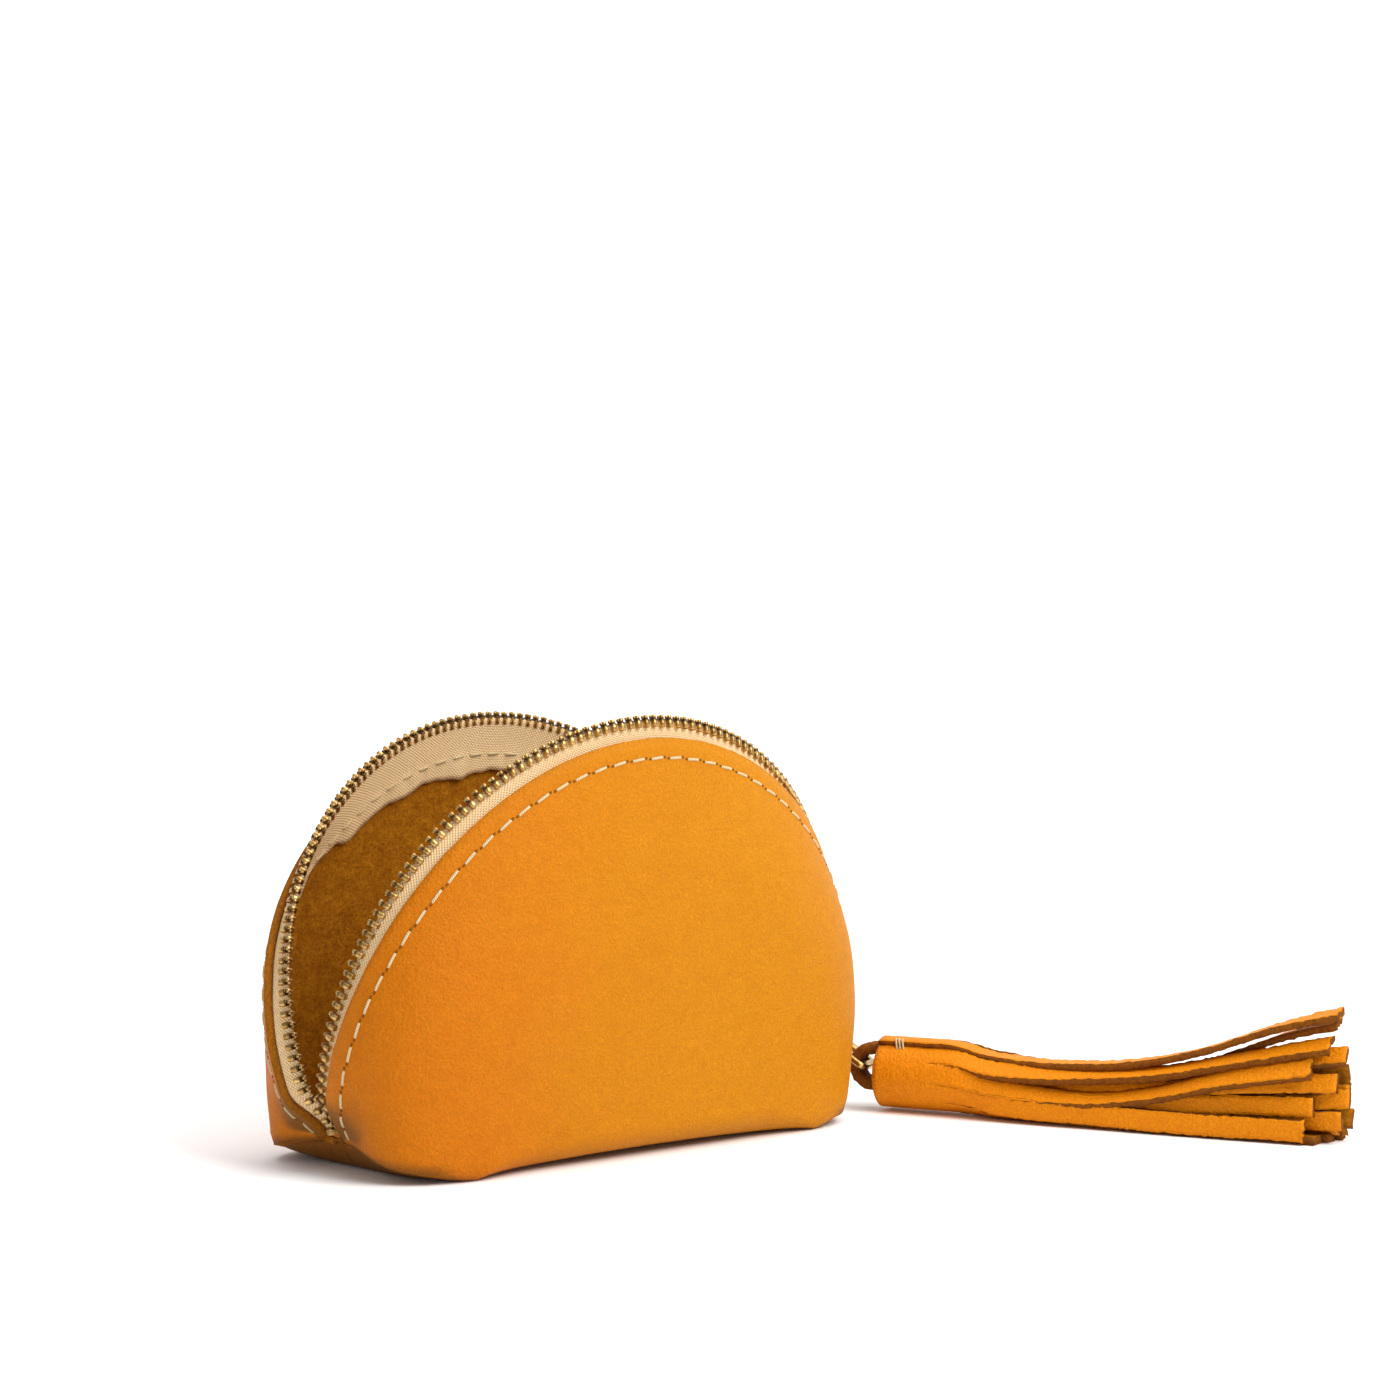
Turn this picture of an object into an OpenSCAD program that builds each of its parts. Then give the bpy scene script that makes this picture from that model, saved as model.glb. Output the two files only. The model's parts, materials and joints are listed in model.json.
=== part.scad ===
// Half-moon zippered leather pouch with a brass zip and a leather tassel.
// Origin: middle of the flat base, on the floor. +X towards the tassel end,
// -Y towards the front, +Z up. The mouth is modelled open, the zip undone.

/* [Mouth] */
// Radius of the zip's arc, to the line where the two rows of teeth meet
arc_r = 85.5; // [80:0.5:92]
// Height of the arc's centre above the floor
arc_z = 35; // [33:0.5:38]
// Height of the fold line that the two sides turn about
fold_z = 15; // [12:0.5:17]
// How far each side leans out from the closed mouth, in degrees
open_tilt = 18.5; // [14:0.5:21]
// Distance from the tips of the teeth to the cut edge of the leather
edge_reach = 6; // [5.6:0.1:7]
// Slope of the tape at the top of the arc, away from the radius, in degrees
apex_lean = 30; // [15:1:45]

/* [Leather] */
// Thickness of the leather
leather_t = 2; // [1.2:0.1:2.4]
// Length of the flat base
base_l = 144; // [130:1:150]
// Flat depth of the base, front to back
base_w = 62; // [54:1:66]
// Inside depth of the pouch at the fold line
belly_w = 71; // [66:1:78]
// Gap between pieces of leather on different bodies
seam_gap = 0.3; // [0.2:0.05:0.5]

/* [Zip] */
// Width of the tape below the leather's edge
tape_w = 14; // [8:0.5:16]
// Thickness of the tape
tape_t = 0.7; // [0.4:0.1:1]
// Distance from one tooth to the next in one row
tooth_pitch = 2.8; // [2.4:0.1:3.2]
// Length of a tooth, tip to root
tooth_l = 2.8; // [2.2:0.1:3.2]
// Width of a tooth along the row
tooth_w = 1.3; // [0.9:0.1:1.6]
// Thickness of a tooth across the tape
tooth_t = 2.4; // [1.8:0.1:2.8]
// Height of the end stops
stop_h = 2.8; // [2:0.1:3.4]

/* [Slider] */
// Length of the slider along the zip
slider_l = 12; // [11:0.5:14]
// Width of the slider across the zip
slider_w = 10; // [8:0.5:10.5]
// Thickness of each slider plate
plate_t = 1.4; // [1:0.1:1.8]
// Clearance of the teeth inside the slider
slider_clear = 0.5; // [0.4:0.05:0.8]
// Width of the post that joins the two plates
post_w = 2; // [1.6:0.1:2.4]
// Free height under the bridge
bridge_gap = 4.6; // [4.4:0.1:5.5]
// Thickness of the bridge
bridge_d = 1.8; // [1.4:0.1:2]

/* [Puller and tassel] */
// Wire thickness of the bail
bail_d = 2.6; // [2:0.1:2.8]
// Radius of the bail's eye, to the middle of the wire
bail_eye_r = 3.6; // [3.4:0.1:3.8]
// Length of the bail, from the bridge to the outer bar
bail_l = 20.7; // [18:0.1:26]
// Slope of the bail as it lies, in degrees
bail_drop = 34; // [30:1:36]
// Direction in which the puller lies, from +X, in degrees
puller_yaw = -70; // [-75:1:-55]
// Width of the tassel's loop strap
loop_w = 4; // [3:0.1:4.2]
// Height of the loop outside
loop_h = 12; // [10:0.5:13]
// Thickness of the loop's strap
loop_t = 2.4; // [1.5:0.1:2.8]
// Diameter of the tassel's rolled head
head_d = 19; // [17:0.5:21]
// Length of the rolled head
head_l = 17; // [14:0.5:20]
// Width of one fringe strip
strip_w = 4.4; // [3.4:0.1:4.5]
// Thickness of one fringe strip
strip_t = 1.5; // [1.2:0.1:1.8]
// Length of the fringe below the head
fringe_l = 112; // [90:1:120]
// Height that the top strips rise to at their tips
fringe_rise = 33; // [20:1:36]

/* [Thread] */
// Length of one topstitch
stitch_l = 5; // [4:0.1:5.4]
// Distance from one topstitch to the next
stitch_pitch = 6.3; // [6:0.1:8]
// Thickness of the thread
thread_d = 0.9; // [0.6:0.05:1.1]
// Distance from the leather's edge to the stitch line
stitch_inset = 5.3; // [4:0.1:7]

/* [Hidden] */

front = -1;
back = 1;
panel_steps = 56;        // columns of a side along the arc
panel_rows = 9;          // rows of a side from its edge to the fold line
rim_steps = 72;          // columns round the base
corner_n = 5;            // squareness of the pouch's outline
base_corner_n = 6;       // squareness of the flat base's outline
skin = 0.1;              // gap between pieces that lie face to face
end_margin = 0.8;        // degrees of arc left free at each end of a side
base_heights = [0, 1.2, 3, 6, 10]; // heights of the base's rings below the fold line
length_flare = 1.25;     // how late the base's ends widen with height
width_flare = 2.4;       // how early the base's long sides widen with height
end_stitch_z = 9;        // height of the stitches that close a boxed corner
end_stitch_inset = 8;    // from the base's corner to the first of them
thread_rise = 0.12;      // gap between a thread and the leather under it
plate_corner = 1.5;      // cut at the corners of the slider's plates
post_l = 3.2;            // length of the post between the plates
plate_margin = 0.3;      // from the post to the mouth end of the plates
stop_clear = 0.6;        // from the slider to the bottom stop
head_gap = 3.5;          // from the loop's bend to the roll
head_lift = 1.2;         // how high the roll lies over the table
leg_overlap = 4;         // length of the loop's legs that stays doubled
thread_reach = 3.2;      // length of the roll's stitches
joint_gap = 0.4;         // running gap between a loop and its bar

// --- the closed zip line, and the turn that opens it --------------------
// A direction turned about the fold line; side is front or back.
function turned(d, side) =
    let (c = cos(open_tilt), k = sin(open_tilt))
    [d[0], d[1] * c + side * d[2] * k, -side * d[1] * k + d[2] * c];
// A point turned the same way.
function leaned(p, side) =
    turned([p[0], p[1], p[2] - fold_z], side) + [0, 0, fold_z];
// The line where the closed rows meet.
function meeting_line(a) = [arc_r * cos(a), 0, arc_z + arc_r * sin(a)];
// Slope of the tape in the closed mouth: flat across at the ends, steep at the top.
function tape_slope(a) = 90 - (90 - apex_lean) * max(0, sin(a));
function tape_run(a, side) =
    let (b = tape_slope(a))
    [-cos(b) * cos(a), side * sin(b), -cos(b) * sin(a)];
function tooth_tip(a, side) = leaned(meeting_line(a), side);
function open_run(a, side) = turned(tape_run(a, side), side);
function leather_edge(a, side) = tooth_tip(a, side) + edge_reach * open_run(a, side);

// Arc angle at which the line stands at height z.
function angle_at(z) = asin((z - arc_z) / arc_r);
rim_clear = seam_gap + 0.5;
edge_drop = edge_reach * sin(open_tilt);
leather_a = angle_at(fold_z + (rim_clear + edge_drop) / cos(open_tilt));
stop_z = fold_z + skin;
teeth_a = angle_at(stop_z + stop_h + 0.5);
slider_rest_a = teeth_a + asin((slider_l / 2 + stop_clear) / arc_r);
slider_travel = 180 - 2 * slider_rest_a;

// --- outline of the pouch at the fold line, and the side walls -----------
function squared(v, n) = sign(v) * pow(abs(v), 2 / n);
function outline(l, w, n, a) = [l / 2 * squared(cos(a), n), w / 2 * squared(sin(a), n)];
fold_l = 2 * arc_r * cos(leather_a);
seam_half = edge_reach * cos(open_tilt);
outline_a = asin(pow(seam_half / (belly_w / 2), corner_n / 2));
function side_foot(a, side) =
    let (t = (a - leather_a) / (180 - 2 * leather_a),
         o = outline(fold_l, belly_w, corner_n, outline_a + (180 - 2 * outline_a) * t))
    [o[0], side * o[1], fold_z + seam_gap];
// Inner face of a side: v runs from the cut edge, 0, to the fold line, 1.
function side_wall(a, v, side) =
    let (p = leather_edge(a, side), q = side_foot(a, side), l = norm(q - p),
         tp = open_run(a, side) * l, tq = [0, 0, -l])
    (2 * v * v * v - 3 * v * v + 1) * p + (v * v * v - 2 * v * v + v) * tp
    + (3 * v * v - 2 * v * v * v) * q + (v * v * v - v * v) * tq;
function unit(v) = v / norm(v);
function wall_normal(a, v, side) =
    let (e = 0.4, w = 0.02, lo = max(v - w, 0), hi = min(v + w, 1),
         a0 = max(a - e, leather_a + 0.05), a1 = min(a + e, 179.95 - leather_a),
         da = side_wall(a1, v, side) - side_wall(a0, v, side),
         dv = side_wall(a, hi, side) - side_wall(a, lo, side))
    side * unit(cross(dv, da));
function on_wall(a, v, side, off) = side_wall(a, v, side) + off * wall_normal(a, v, side);
function wall_depth(a, side) = norm(side_foot(a, side) - leather_edge(a, side));
function above(p, z) = [p[0], p[1], max(p[2], z)];

// --- solids from grids of points -----------------------------------------
function halves(q) = [[q[0], q[1], q[2]], [q[0], q[2], q[3]]];
// A closed sheet between two grids of points of the same size.
module sheet_between(p, q, flip) {
    n = len(p);
    m = len(p[0]);
    points = concat([for (row = p) each row], [for (row = q) each row]);
    function id(g, i, j) = g * n * m + i * m + j;
    quads = concat(
        [for (i = [0:n - 2], j = [0:m - 2])
            [id(0, i, j), id(0, i + 1, j), id(0, i + 1, j + 1), id(0, i, j + 1)]],
        [for (i = [0:n - 2], j = [0:m - 2])
            [id(1, i, j), id(1, i, j + 1), id(1, i + 1, j + 1), id(1, i + 1, j)]],
        [for (i = [0:n - 2]) [id(0, i, 0), id(1, i, 0), id(1, i + 1, 0), id(0, i + 1, 0)]],
        [for (i = [0:n - 2])
            [id(0, i, m - 1), id(0, i + 1, m - 1), id(1, i + 1, m - 1), id(1, i, m - 1)]],
        [for (j = [0:m - 2]) [id(0, 0, j), id(0, 0, j + 1), id(1, 0, j + 1), id(1, 0, j)]],
        [for (j = [0:m - 2])
            [id(0, n - 1, j), id(1, n - 1, j), id(1, n - 1, j + 1), id(0, n - 1, j + 1)]]);
    faces = [for (f = quads) each halves(f)];
    polyhedron(points, flip ? [for (f = faces) [f[2], f[1], f[0]]] : faces);
}

// A bar of four corners swept along rings of points.
module swept(rings) {
    n = len(rings);
    m = len(rings[0]);
    function id(i, j) = i * m + j % m;
    sides = [for (i = [0:n - 2], j = [0:m - 1])
                each halves([id(i, j), id(i + 1, j), id(i + 1, j + 1), id(i, j + 1)])];
    ends = concat([for (j = [1:m - 2]) [id(0, 0), id(0, j), id(0, j + 1)]],
                  [for (j = [1:m - 2]) [id(n - 1, 0), id(n - 1, j + 1), id(n - 1, j)]]);
    polyhedron([for (r = rings) each r], concat(sides, ends));
}

// --- leather --------------------------------------------------------------
module side_leather(side) {
    inner = skin;
    outer = skin + leather_t;
    as = [for (i = [0:panel_steps])
            leather_a + end_margin
            + (180 - 2 * (leather_a + end_margin)) * i / panel_steps];
    vs = [for (j = [0:panel_rows]) j / panel_rows];
    floor_z = fold_z + seam_gap;
    grid = function (off) [for (a = as) [for (v = vs) above(on_wall(a, v, side, off), floor_z)]];
    sheet_between(grid(outer), grid(inner), side == front);
}

// Half sizes of the base's wall at height z, from the floor to the fold line.
wall_l = fold_l + 2 * (skin + leather_t);
wall_w = belly_w + 2 * (skin + leather_t);
function base_ring(z, inset) =
    let (t = z / fold_z,
         l = base_l + (wall_l - base_l) * pow(t, length_flare) - 2 * inset,
         w = base_w + (wall_w - base_w) * (1 - pow(1 - t, width_flare)) - 2 * inset,
         n = base_corner_n + (corner_n - base_corner_n) * t)
    [for (k = [0:rim_steps - 1])
        let (o = outline(l, w, n, 360 * k / rim_steps)) [o[0], o[1], z]];
module leather_base() {
    color([0.93, 0.56, 0.12])
        difference() {
            swept([for (z = [each base_heights, fold_z]) base_ring(z, 0)]);
            swept([for (z = [leather_t, 3.5, 6, 10, fold_z, fold_z + 1])
                base_ring(min(z, fold_z), leather_t) + [for (k = [1:rim_steps])
                    [0, 0, max(0, z - fold_z)]]]);
        }
}
module leather_front() { color([0.93, 0.56, 0.12]) side_leather(front); }
module leather_back() { color([0.93, 0.56, 0.12]) side_leather(back); }

// --- zip --------------------------------------------------------------------
// The tape: straight from the roots of the teeth to the leather's edge, then inside the wall.
function tape_point(a, s, side, off) =
    s < 0
        ? leather_edge(a, side) + s * open_run(a, side) + off * wall_normal(a, 0, side)
        : on_wall(a, min(s / max(wall_depth(a, side), 1), 0.92), side, off);
module side_tape(side) {
    root = tooth_l + skin - edge_reach;
    as = [for (i = [0:panel_steps]) teeth_a + (180 - 2 * teeth_a) * i / panel_steps];
    ss = [root, root / 2, -0.01, 0.25 * tape_w, 0.5 * tape_w, 0.75 * tape_w, tape_w];
    grid = function (off) [for (a = as) [for (s = ss)
        above(tape_point(a, s, side, off), fold_z + seam_gap)]];
    sheet_between(grid(-skin), grid(-skin - tape_t), side == front);
}
module tape_front() { color([0.90, 0.82, 0.66]) side_tape(front); }
module tape_back() { color([0.90, 0.82, 0.66]) side_tape(back); }

teeth_n = floor((180 - 2 * teeth_a) * PI / 180 * arc_r / tooth_pitch);
tooth_step = (180 - 2 * teeth_a) / teeth_n;
// Puts its children at the arc: +X outward, +Z along the zip, origin on the meeting line.
module at_arc(a) {
    translate([0, 0, arc_z]) rotate([0, -a, 0]) translate([arc_r, 0, 0]) children();
}
// Turns its children from the closed mouth to the open one.
module lean_out(side) {
    translate([0, 0, fold_z]) rotate([-side * open_tilt, 0, 0]) translate([0, 0, -fold_z])
        children();
}
// The tooth's own frame: +Y runs from the tip to the root, away from the meeting line.
module tooth_row(side, shift) {
    lean_out(side)
        for (i = [0:teeth_n - 1]) {
            a = teeth_a + (i + shift) * tooth_step;
            at_arc(a)
                rotate([0, 0, side * (90 - tape_slope(a))])
                    translate([-tooth_t / 2, side > 0 ? 0 : -tooth_l, -tooth_w / 2])
                        cube([tooth_t, tooth_l, tooth_w]);
        }
}
module teeth_front() { color([0.72, 0.58, 0.30]) tooth_row(front, 0.25); }
module teeth_back() { color([0.72, 0.58, 0.30]) tooth_row(back, 0.75); }

// One stop at the closed end of each row, clear of the middle and of the base's rim.
stop_lift = (seam_gap + tooth_l) * sin(open_tilt) + skin;
module top_stop(side) {
    lean_out(side)
        translate([meeting_line(180 - teeth_a)[0] - tooth_t / 2,
                   side > 0 ? seam_gap : -seam_gap - tooth_l, stop_z + stop_lift])
            cube([tooth_t, tooth_l, stop_h - stop_lift]);
}
module top_stop_front() { color([0.72, 0.58, 0.30]) top_stop(front); }
module top_stop_back() { color([0.72, 0.58, 0.30]) top_stop(back); }
// The stop at the open end holds both rows and is sewn down on the base's rim.
module bottom_stop() {
    color([0.72, 0.58, 0.30])
        translate([meeting_line(teeth_a)[0] - tooth_t / 2, -tooth_l, fold_z + skin / 2])
            cube([tooth_t, 2 * tooth_l, stop_h - stop_lift]);
}

// --- thread ---------------------------------------------------------------
// A straight stitch from p to q.
module stitch(p, q) {
    d = q - p;
    translate(p) rotate([0, acos(d[2] / norm(d)), atan2(d[1], d[0])])
        cylinder(h = norm(d), d = thread_d, $fn = 16);
}
stitch_off = skin + leather_t + thread_d / 2 + thread_rise;
module side_stitches(side) {
    a0 = leather_a + 6;
    n = floor((180 - 2 * a0) * PI / 180 * (arc_r - stitch_inset) / stitch_pitch);
    step = (180 - 2 * a0) / n;
    for (i = [0:n - 1]) {
        a = a0 + i * step;
        b = a + step * stitch_l / stitch_pitch;
        stitch(on_wall(a, stitch_inset / wall_depth(a, side), side, stitch_off),
               on_wall(b, stitch_inset / wall_depth(b, side), side, stitch_off));
    }
}
module topstitch_front() { color([0.95, 0.91, 0.80]) side_stitches(front); }
module topstitch_back() { color([0.95, 0.91, 0.80]) side_stitches(back); }
// Stitches that close the boxed corner at an end of the base.
module end_stitches(side) {
    z = end_stitch_z;
    y = base_w / 2 - end_stitch_inset;
    x = base_ring(z, 0)[0][0] + thread_d / 2 + 0.3;
    n = floor(2 * y / stitch_pitch);
    for (i = [0:n - 1])
        stitch([side * x, (i - n / 2) * stitch_pitch, z],
               [side * x, (i - n / 2) * stitch_pitch + stitch_l, z]);
}
module end_stitch_left() { color([0.95, 0.91, 0.80]) end_stitches(-1); }
module end_stitch_right() { color([0.95, 0.91, 0.80]) end_stitches(1); }

// --- slider -----------------------------------------------------------------
channel = tooth_t + 2 * slider_clear;
slider_neck = 0.72 * slider_w;
module plate_outline() {
    // wide at the mouth, +Y, and narrow at the closed end
    c = plate_corner;
    polygon([[-slider_w / 2, slider_l / 2 - c], [-slider_w / 2 + c, slider_l / 2],
             [slider_w / 2 - c, slider_l / 2], [slider_w / 2, slider_l / 2 - c],
             [slider_neck / 2, -slider_l / 2], [-slider_neck / 2, -slider_l / 2]]);
}
// Stands a flat outline up in the arc's frame: X outward, Y across, Z along the zip.
module stood(x, t) {
    translate([x, 0, 0]) rotate([90, 0, 90]) linear_extrude(t) children();
}
module slider_body() {
    color([0.72, 0.58, 0.30])
        at_arc(slider_rest_a)
            union() {
                stood(channel / 2, plate_t) plate_outline();
                stood(-channel / 2 - plate_t, plate_t) plate_outline();
                stood(-channel / 2 - plate_t / 2, channel + plate_t)
                    translate([0, slider_l / 2 - post_l / 2 - plate_margin])
                        polygon([[0, post_l / 2], [post_w / 2, 0], [0, -post_l / 2],
                                 [-post_w / 2, 0]]);
            }
}
bar_x = channel / 2 + plate_t + bridge_gap + bridge_d / 2;
bridge_l = slider_l - 1.2;
module slider_bridge() {
    color([0.72, 0.58, 0.30])
        at_arc(slider_rest_a) {
            foot_h = bar_x - channel / 2 - plate_t;
            difference() {
                union() {
                    for (k = [-1, 1])
                        translate([channel / 2 + plate_t, -bridge_d / 2,
                                   k * (bridge_l - bridge_d) / 2 - bridge_d / 2])
                            cube([foot_h, bridge_d, bridge_d]);
                    translate([bar_x, 0, -bridge_l / 2]) cylinder(h = bridge_l, d = bridge_d, $fn = 24);
                }
                // seat of the lock spring
                translate([channel / 2 + plate_t - skin, -1, -bridge_l])
                    cube([0.3 + skin, 2, 2 * bridge_l]);
            }
        }
}
// Leaf of the lock, which lies on the outer plate under the bridge.
module lock_spring() {
    color([0.78, 0.66, 0.38])
        at_arc(slider_rest_a)
            translate([channel / 2 + plate_t + 0.02, -0.7, -bridge_l / 2])
                cube([0.25, 1.4, bridge_l]);
}

// --- puller -------------------------------------------------------------------
// Origin at the middle of the bridge's bar, +X in the direction in which the puller lies.
module at_puller() {
    at = [(arc_r + bar_x) * cos(slider_rest_a), 0,
          arc_z + (arc_r + bar_x) * sin(slider_rest_a)];
    translate(at) rotate([0, 0, puller_yaw]) children();
}
module puller_bail() {
    color([0.74, 0.58, 0.26])
        at_puller() rotate([0, bail_drop, 0]) union() {
            rotate([0, 0, 90]) rotate_extrude(angle = 180, $fn = 48)
                translate([bail_eye_r, 0]) circle(d = bail_d, $fn = 24);
            for (k = [-1, 1]) {
                translate([0, k * bail_eye_r, 0]) rotate([0, 90, 0])
                    cylinder(h = bail_l, d = bail_d, $fn = 24);
                translate([bail_l, k * bail_eye_r, 0]) sphere(d = bail_d, $fn = 24);
            }
            translate([bail_l, -bail_eye_r, 0]) rotate([-90, 0, 0])
                cylinder(h = 2 * bail_eye_r, d = bail_d, $fn = 24);
        }
}

// --- tassel ---------------------------------------------------------------------
// Origin at the bail's outer bar, +X along the tassel as it lies.
module at_tassel() {
    at_puller() translate([bail_l * cos(bail_drop), 0, -bail_l * sin(bail_drop)]) children();
}
bar_h = arc_z + (arc_r + bar_x) * sin(slider_rest_a) - bail_l * sin(bail_drop);
loop_l = 14;
module loop_outline(inset) {
    r = loop_h / 2 - inset;
    circle(r = r, $fn = 48);
    translate([0, -r]) square([loop_l, 2 * r]);
}
loop_bore = bail_d / 2 + joint_gap;
loop_back = loop_h / 2 - loop_t - loop_bore;
module tassel_loop() {
    color([0.52, 0.29, 0.10])
        at_tassel() translate([loop_back, 0, 0]) rotate([90, 0, 0])
            linear_extrude(loop_w, center = true)
                difference() {
                    loop_outline(0);
                    intersection() {
                        loop_outline(loop_t);
                        translate([-loop_h, -loop_h]) square([loop_h + loop_l - leg_overlap, 2 * loop_h]);
                    }
                }
}
head_x = loop_back + head_gap;
head_drop = head_d / 2 + head_lift - bar_h;
// The loop's legs lie in the hollow of the roll.
loop_pocket = 2 * norm([loop_h / 2 + abs(head_drop), loop_w / 2]) + 0.3;
module tassel_head() {
    color([0.90, 0.53, 0.13])
        at_tassel() translate([head_x, 0, head_drop]) rotate([0, 90, 0])
            difference() {
                cylinder(h = head_l, d = head_d, $fn = 64);
                translate([0, 0, -1]) cylinder(h = head_l + 2, d = loop_pocket, $fn = 48);
            }
}
module tassel_thread() {
    color([0.95, 0.91, 0.80])
        at_tassel() translate([head_x, 0, head_drop])
            for (k = [0:2])
                rotate([64 + 9 * k, 0, 0])
                    translate([2 + 0.6 * k, 0, head_d / 2 + thread_d / 2 + 0.05])
                        rotate([0, 90, 0]) cylinder(h = thread_reach, d = thread_d, $fn = 16);
}

// One strip: from p to q with a lift in the middle, its face turned by roll degrees.
module strip(p, q, lift, roll) {
    n = 10;
    across = [0, cos(roll), sin(roll)] * strip_w / 2;
    up = [0, -sin(roll), cos(roll)] * strip_t / 2;
    swept([for (i = [0:n])
        let (t = i / n, s = t * t * (3 - 2 * t),
             c = [p[0] + (q[0] - p[0]) * t, p[1] + (q[1] - p[1]) * s,
                  p[2] + (q[2] - p[2]) * s + lift * sin(180 * t)])
        [c - across - up, c + across - up, c + across + up, c - across + up]]);
}
// The middle strips start inside the roll, against the loop; the others start at its end.
function fringe_x(column) =
    (column == 0 ? loop_back + loop_l : head_x + head_l) + seam_gap;
rest_z = -bar_h + 0.5;
// Strips lie in layers; the far ones fan out and the top ones rise.
layer_pitch = 4.1;
module fringe(column) {
    y0 = column * (strip_w + 0.5);
    y1 = column * (strip_w + 3.2);
    for (layer = [0:3]) {
        z0 = head_drop + (layer - 1.5) * layer_pitch;
        rise = strip_t / 2 + fringe_rise * layer * (layer + 2) / 15;
        strip([fringe_x(column), y0, z0],
              [head_x + head_l + fringe_l - 3 * layer, y1, rest_z + rise], -1.1, 0);
    }
}
module fringe_near() { color([0.90, 0.53, 0.13]) at_tassel() fringe(-1); }
module fringe_middle() { color([0.90, 0.53, 0.13]) at_tassel() fringe(0); }
module fringe_far() { color([0.90, 0.53, 0.13]) at_tassel() fringe(1); }

leather_base();
leather_front();
leather_back();
tape_front();
tape_back();
teeth_front();
teeth_back();
top_stop_front();
top_stop_back();
bottom_stop();
topstitch_front();
topstitch_back();
end_stitch_left();
end_stitch_right();
slider_body();
slider_bridge();
lock_spring();
puller_bail();
tassel_loop();
tassel_head();
tassel_thread();
fringe_near();
fringe_middle();
fringe_far();
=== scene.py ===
import json
import math

import bmesh
import bpy
import numpy as np
from mathutils import Matrix, Vector, noise


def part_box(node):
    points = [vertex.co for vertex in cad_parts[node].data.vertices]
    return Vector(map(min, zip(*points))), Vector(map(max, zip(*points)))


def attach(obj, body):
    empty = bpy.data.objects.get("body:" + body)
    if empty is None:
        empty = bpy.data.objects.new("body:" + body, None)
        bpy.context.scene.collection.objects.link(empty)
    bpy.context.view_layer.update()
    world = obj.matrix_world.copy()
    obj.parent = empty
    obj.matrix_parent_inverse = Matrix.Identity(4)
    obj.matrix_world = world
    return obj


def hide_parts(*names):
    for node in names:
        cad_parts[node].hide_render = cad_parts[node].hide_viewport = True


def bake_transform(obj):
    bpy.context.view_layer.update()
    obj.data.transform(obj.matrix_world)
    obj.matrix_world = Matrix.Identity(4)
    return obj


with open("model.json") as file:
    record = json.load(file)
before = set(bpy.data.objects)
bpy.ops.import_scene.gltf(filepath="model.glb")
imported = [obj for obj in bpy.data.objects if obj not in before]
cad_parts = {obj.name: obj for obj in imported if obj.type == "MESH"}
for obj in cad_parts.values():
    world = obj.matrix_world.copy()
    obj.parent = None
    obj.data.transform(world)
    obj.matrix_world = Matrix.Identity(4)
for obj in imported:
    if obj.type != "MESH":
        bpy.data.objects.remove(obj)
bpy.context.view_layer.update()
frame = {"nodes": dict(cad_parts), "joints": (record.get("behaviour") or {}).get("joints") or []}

MM = 0.001
FRONT, BACK = -1, 1

# --------------------------------------------------------------------------
# Sizes of the pouch, in millimetres
# --------------------------------------------------------------------------
ARC_R, ARC_Z = 85.5, 35.0        # arc of the closed zip, and the height of its centre
FOLD_Z, OPEN_TILT = 15.0, 18.5   # line that the sides turn about, and how far they stand open
BEND_LOW, BEND_HIGH = 8.0, 22.0  # heights between which the leather bends
SEAM_Z = 9.5                     # height of the closing seam in the middle of each end
EDGE_REACH, END_REACH = 6.0, 3.2  # from the teeth's tips to the cut edge: along the mouth, at its ends
APEX_LEAN = 30.0                 # slope of the tape at the top of the arc
END_FLARE = 24.0                 # how much further the back's tape turns outward at its ends
END_PULL = 5.2                   # how far the zip's closed end is drawn in
LEATHER = 2.1                    # thickness of the hide
WAIST_L, WAIST_W = 163.0, 71.0   # outline just above the base, inside the leather
WAIST_Z, ROUND_R = 1.6, 7.5      # its lowest place, and the rounded edge below it along front and back
FOOT_L, FOOT_W = 138.0, 56.0     # outline of the part that stands on the table
TOOTH_PITCH = 2.8
TAPE_W, TAPE_T = 14.5, 0.7
STITCH_PITCH, STITCH_L = 6.3, 5.0
STITCH_INSET = 5.3               # from the leather's edge to the topstitch
THREAD_R, END_STITCH_PITCH = 0.38, 6.4
WALL_BULGE = {FRONT: 0.35, BACK: 0.10}  # how far the ends belly out above the base, as a share of the drop
CREASE_X, CREASE_RUN = 60.0, 14.0  # from here outward the rounded edge turns into a folded flap
LIP_X, LIP_IN = 66.0, 2.2        # from here outward the leather hangs over the flap, by this much
UNDERSIDE_SHADE_X, UNDERSIDE_SHADE_RUN = 58.0, 10.0  # from here outward the underside, where it faces down, gets painted shade
WAIST_SQUARE, FOOT_SQUARE = 4.8, 6  # how square the corners of both outlines are
STAND_Z = 0.15                   # gap under the leather where it stands on the table

slider_low, slider_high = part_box("slider_body")
SLIDER_Z = (slider_low.z + slider_high.z) / 2 / MM

# arc angles of the zip's ends and of the parked slider
END_A = math.degrees(math.asin((SEAM_Z - ARC_Z) / ARC_R))
SLIDER_A = math.degrees(math.asin((SLIDER_Z - ARC_Z) / ARC_R))


# --------------------------------------------------------------------------
# The shape of a side
# --------------------------------------------------------------------------
def smooth(t):
    """Eases from nought to one as t does, and stays there beyond."""
    t = np.clip(t, 0, 1)
    return t * t * (3 - 2 * t)


def sin_d(a):
    return np.sin(np.radians(a))


def cos_d(a):
    return np.cos(np.radians(a))


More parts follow.
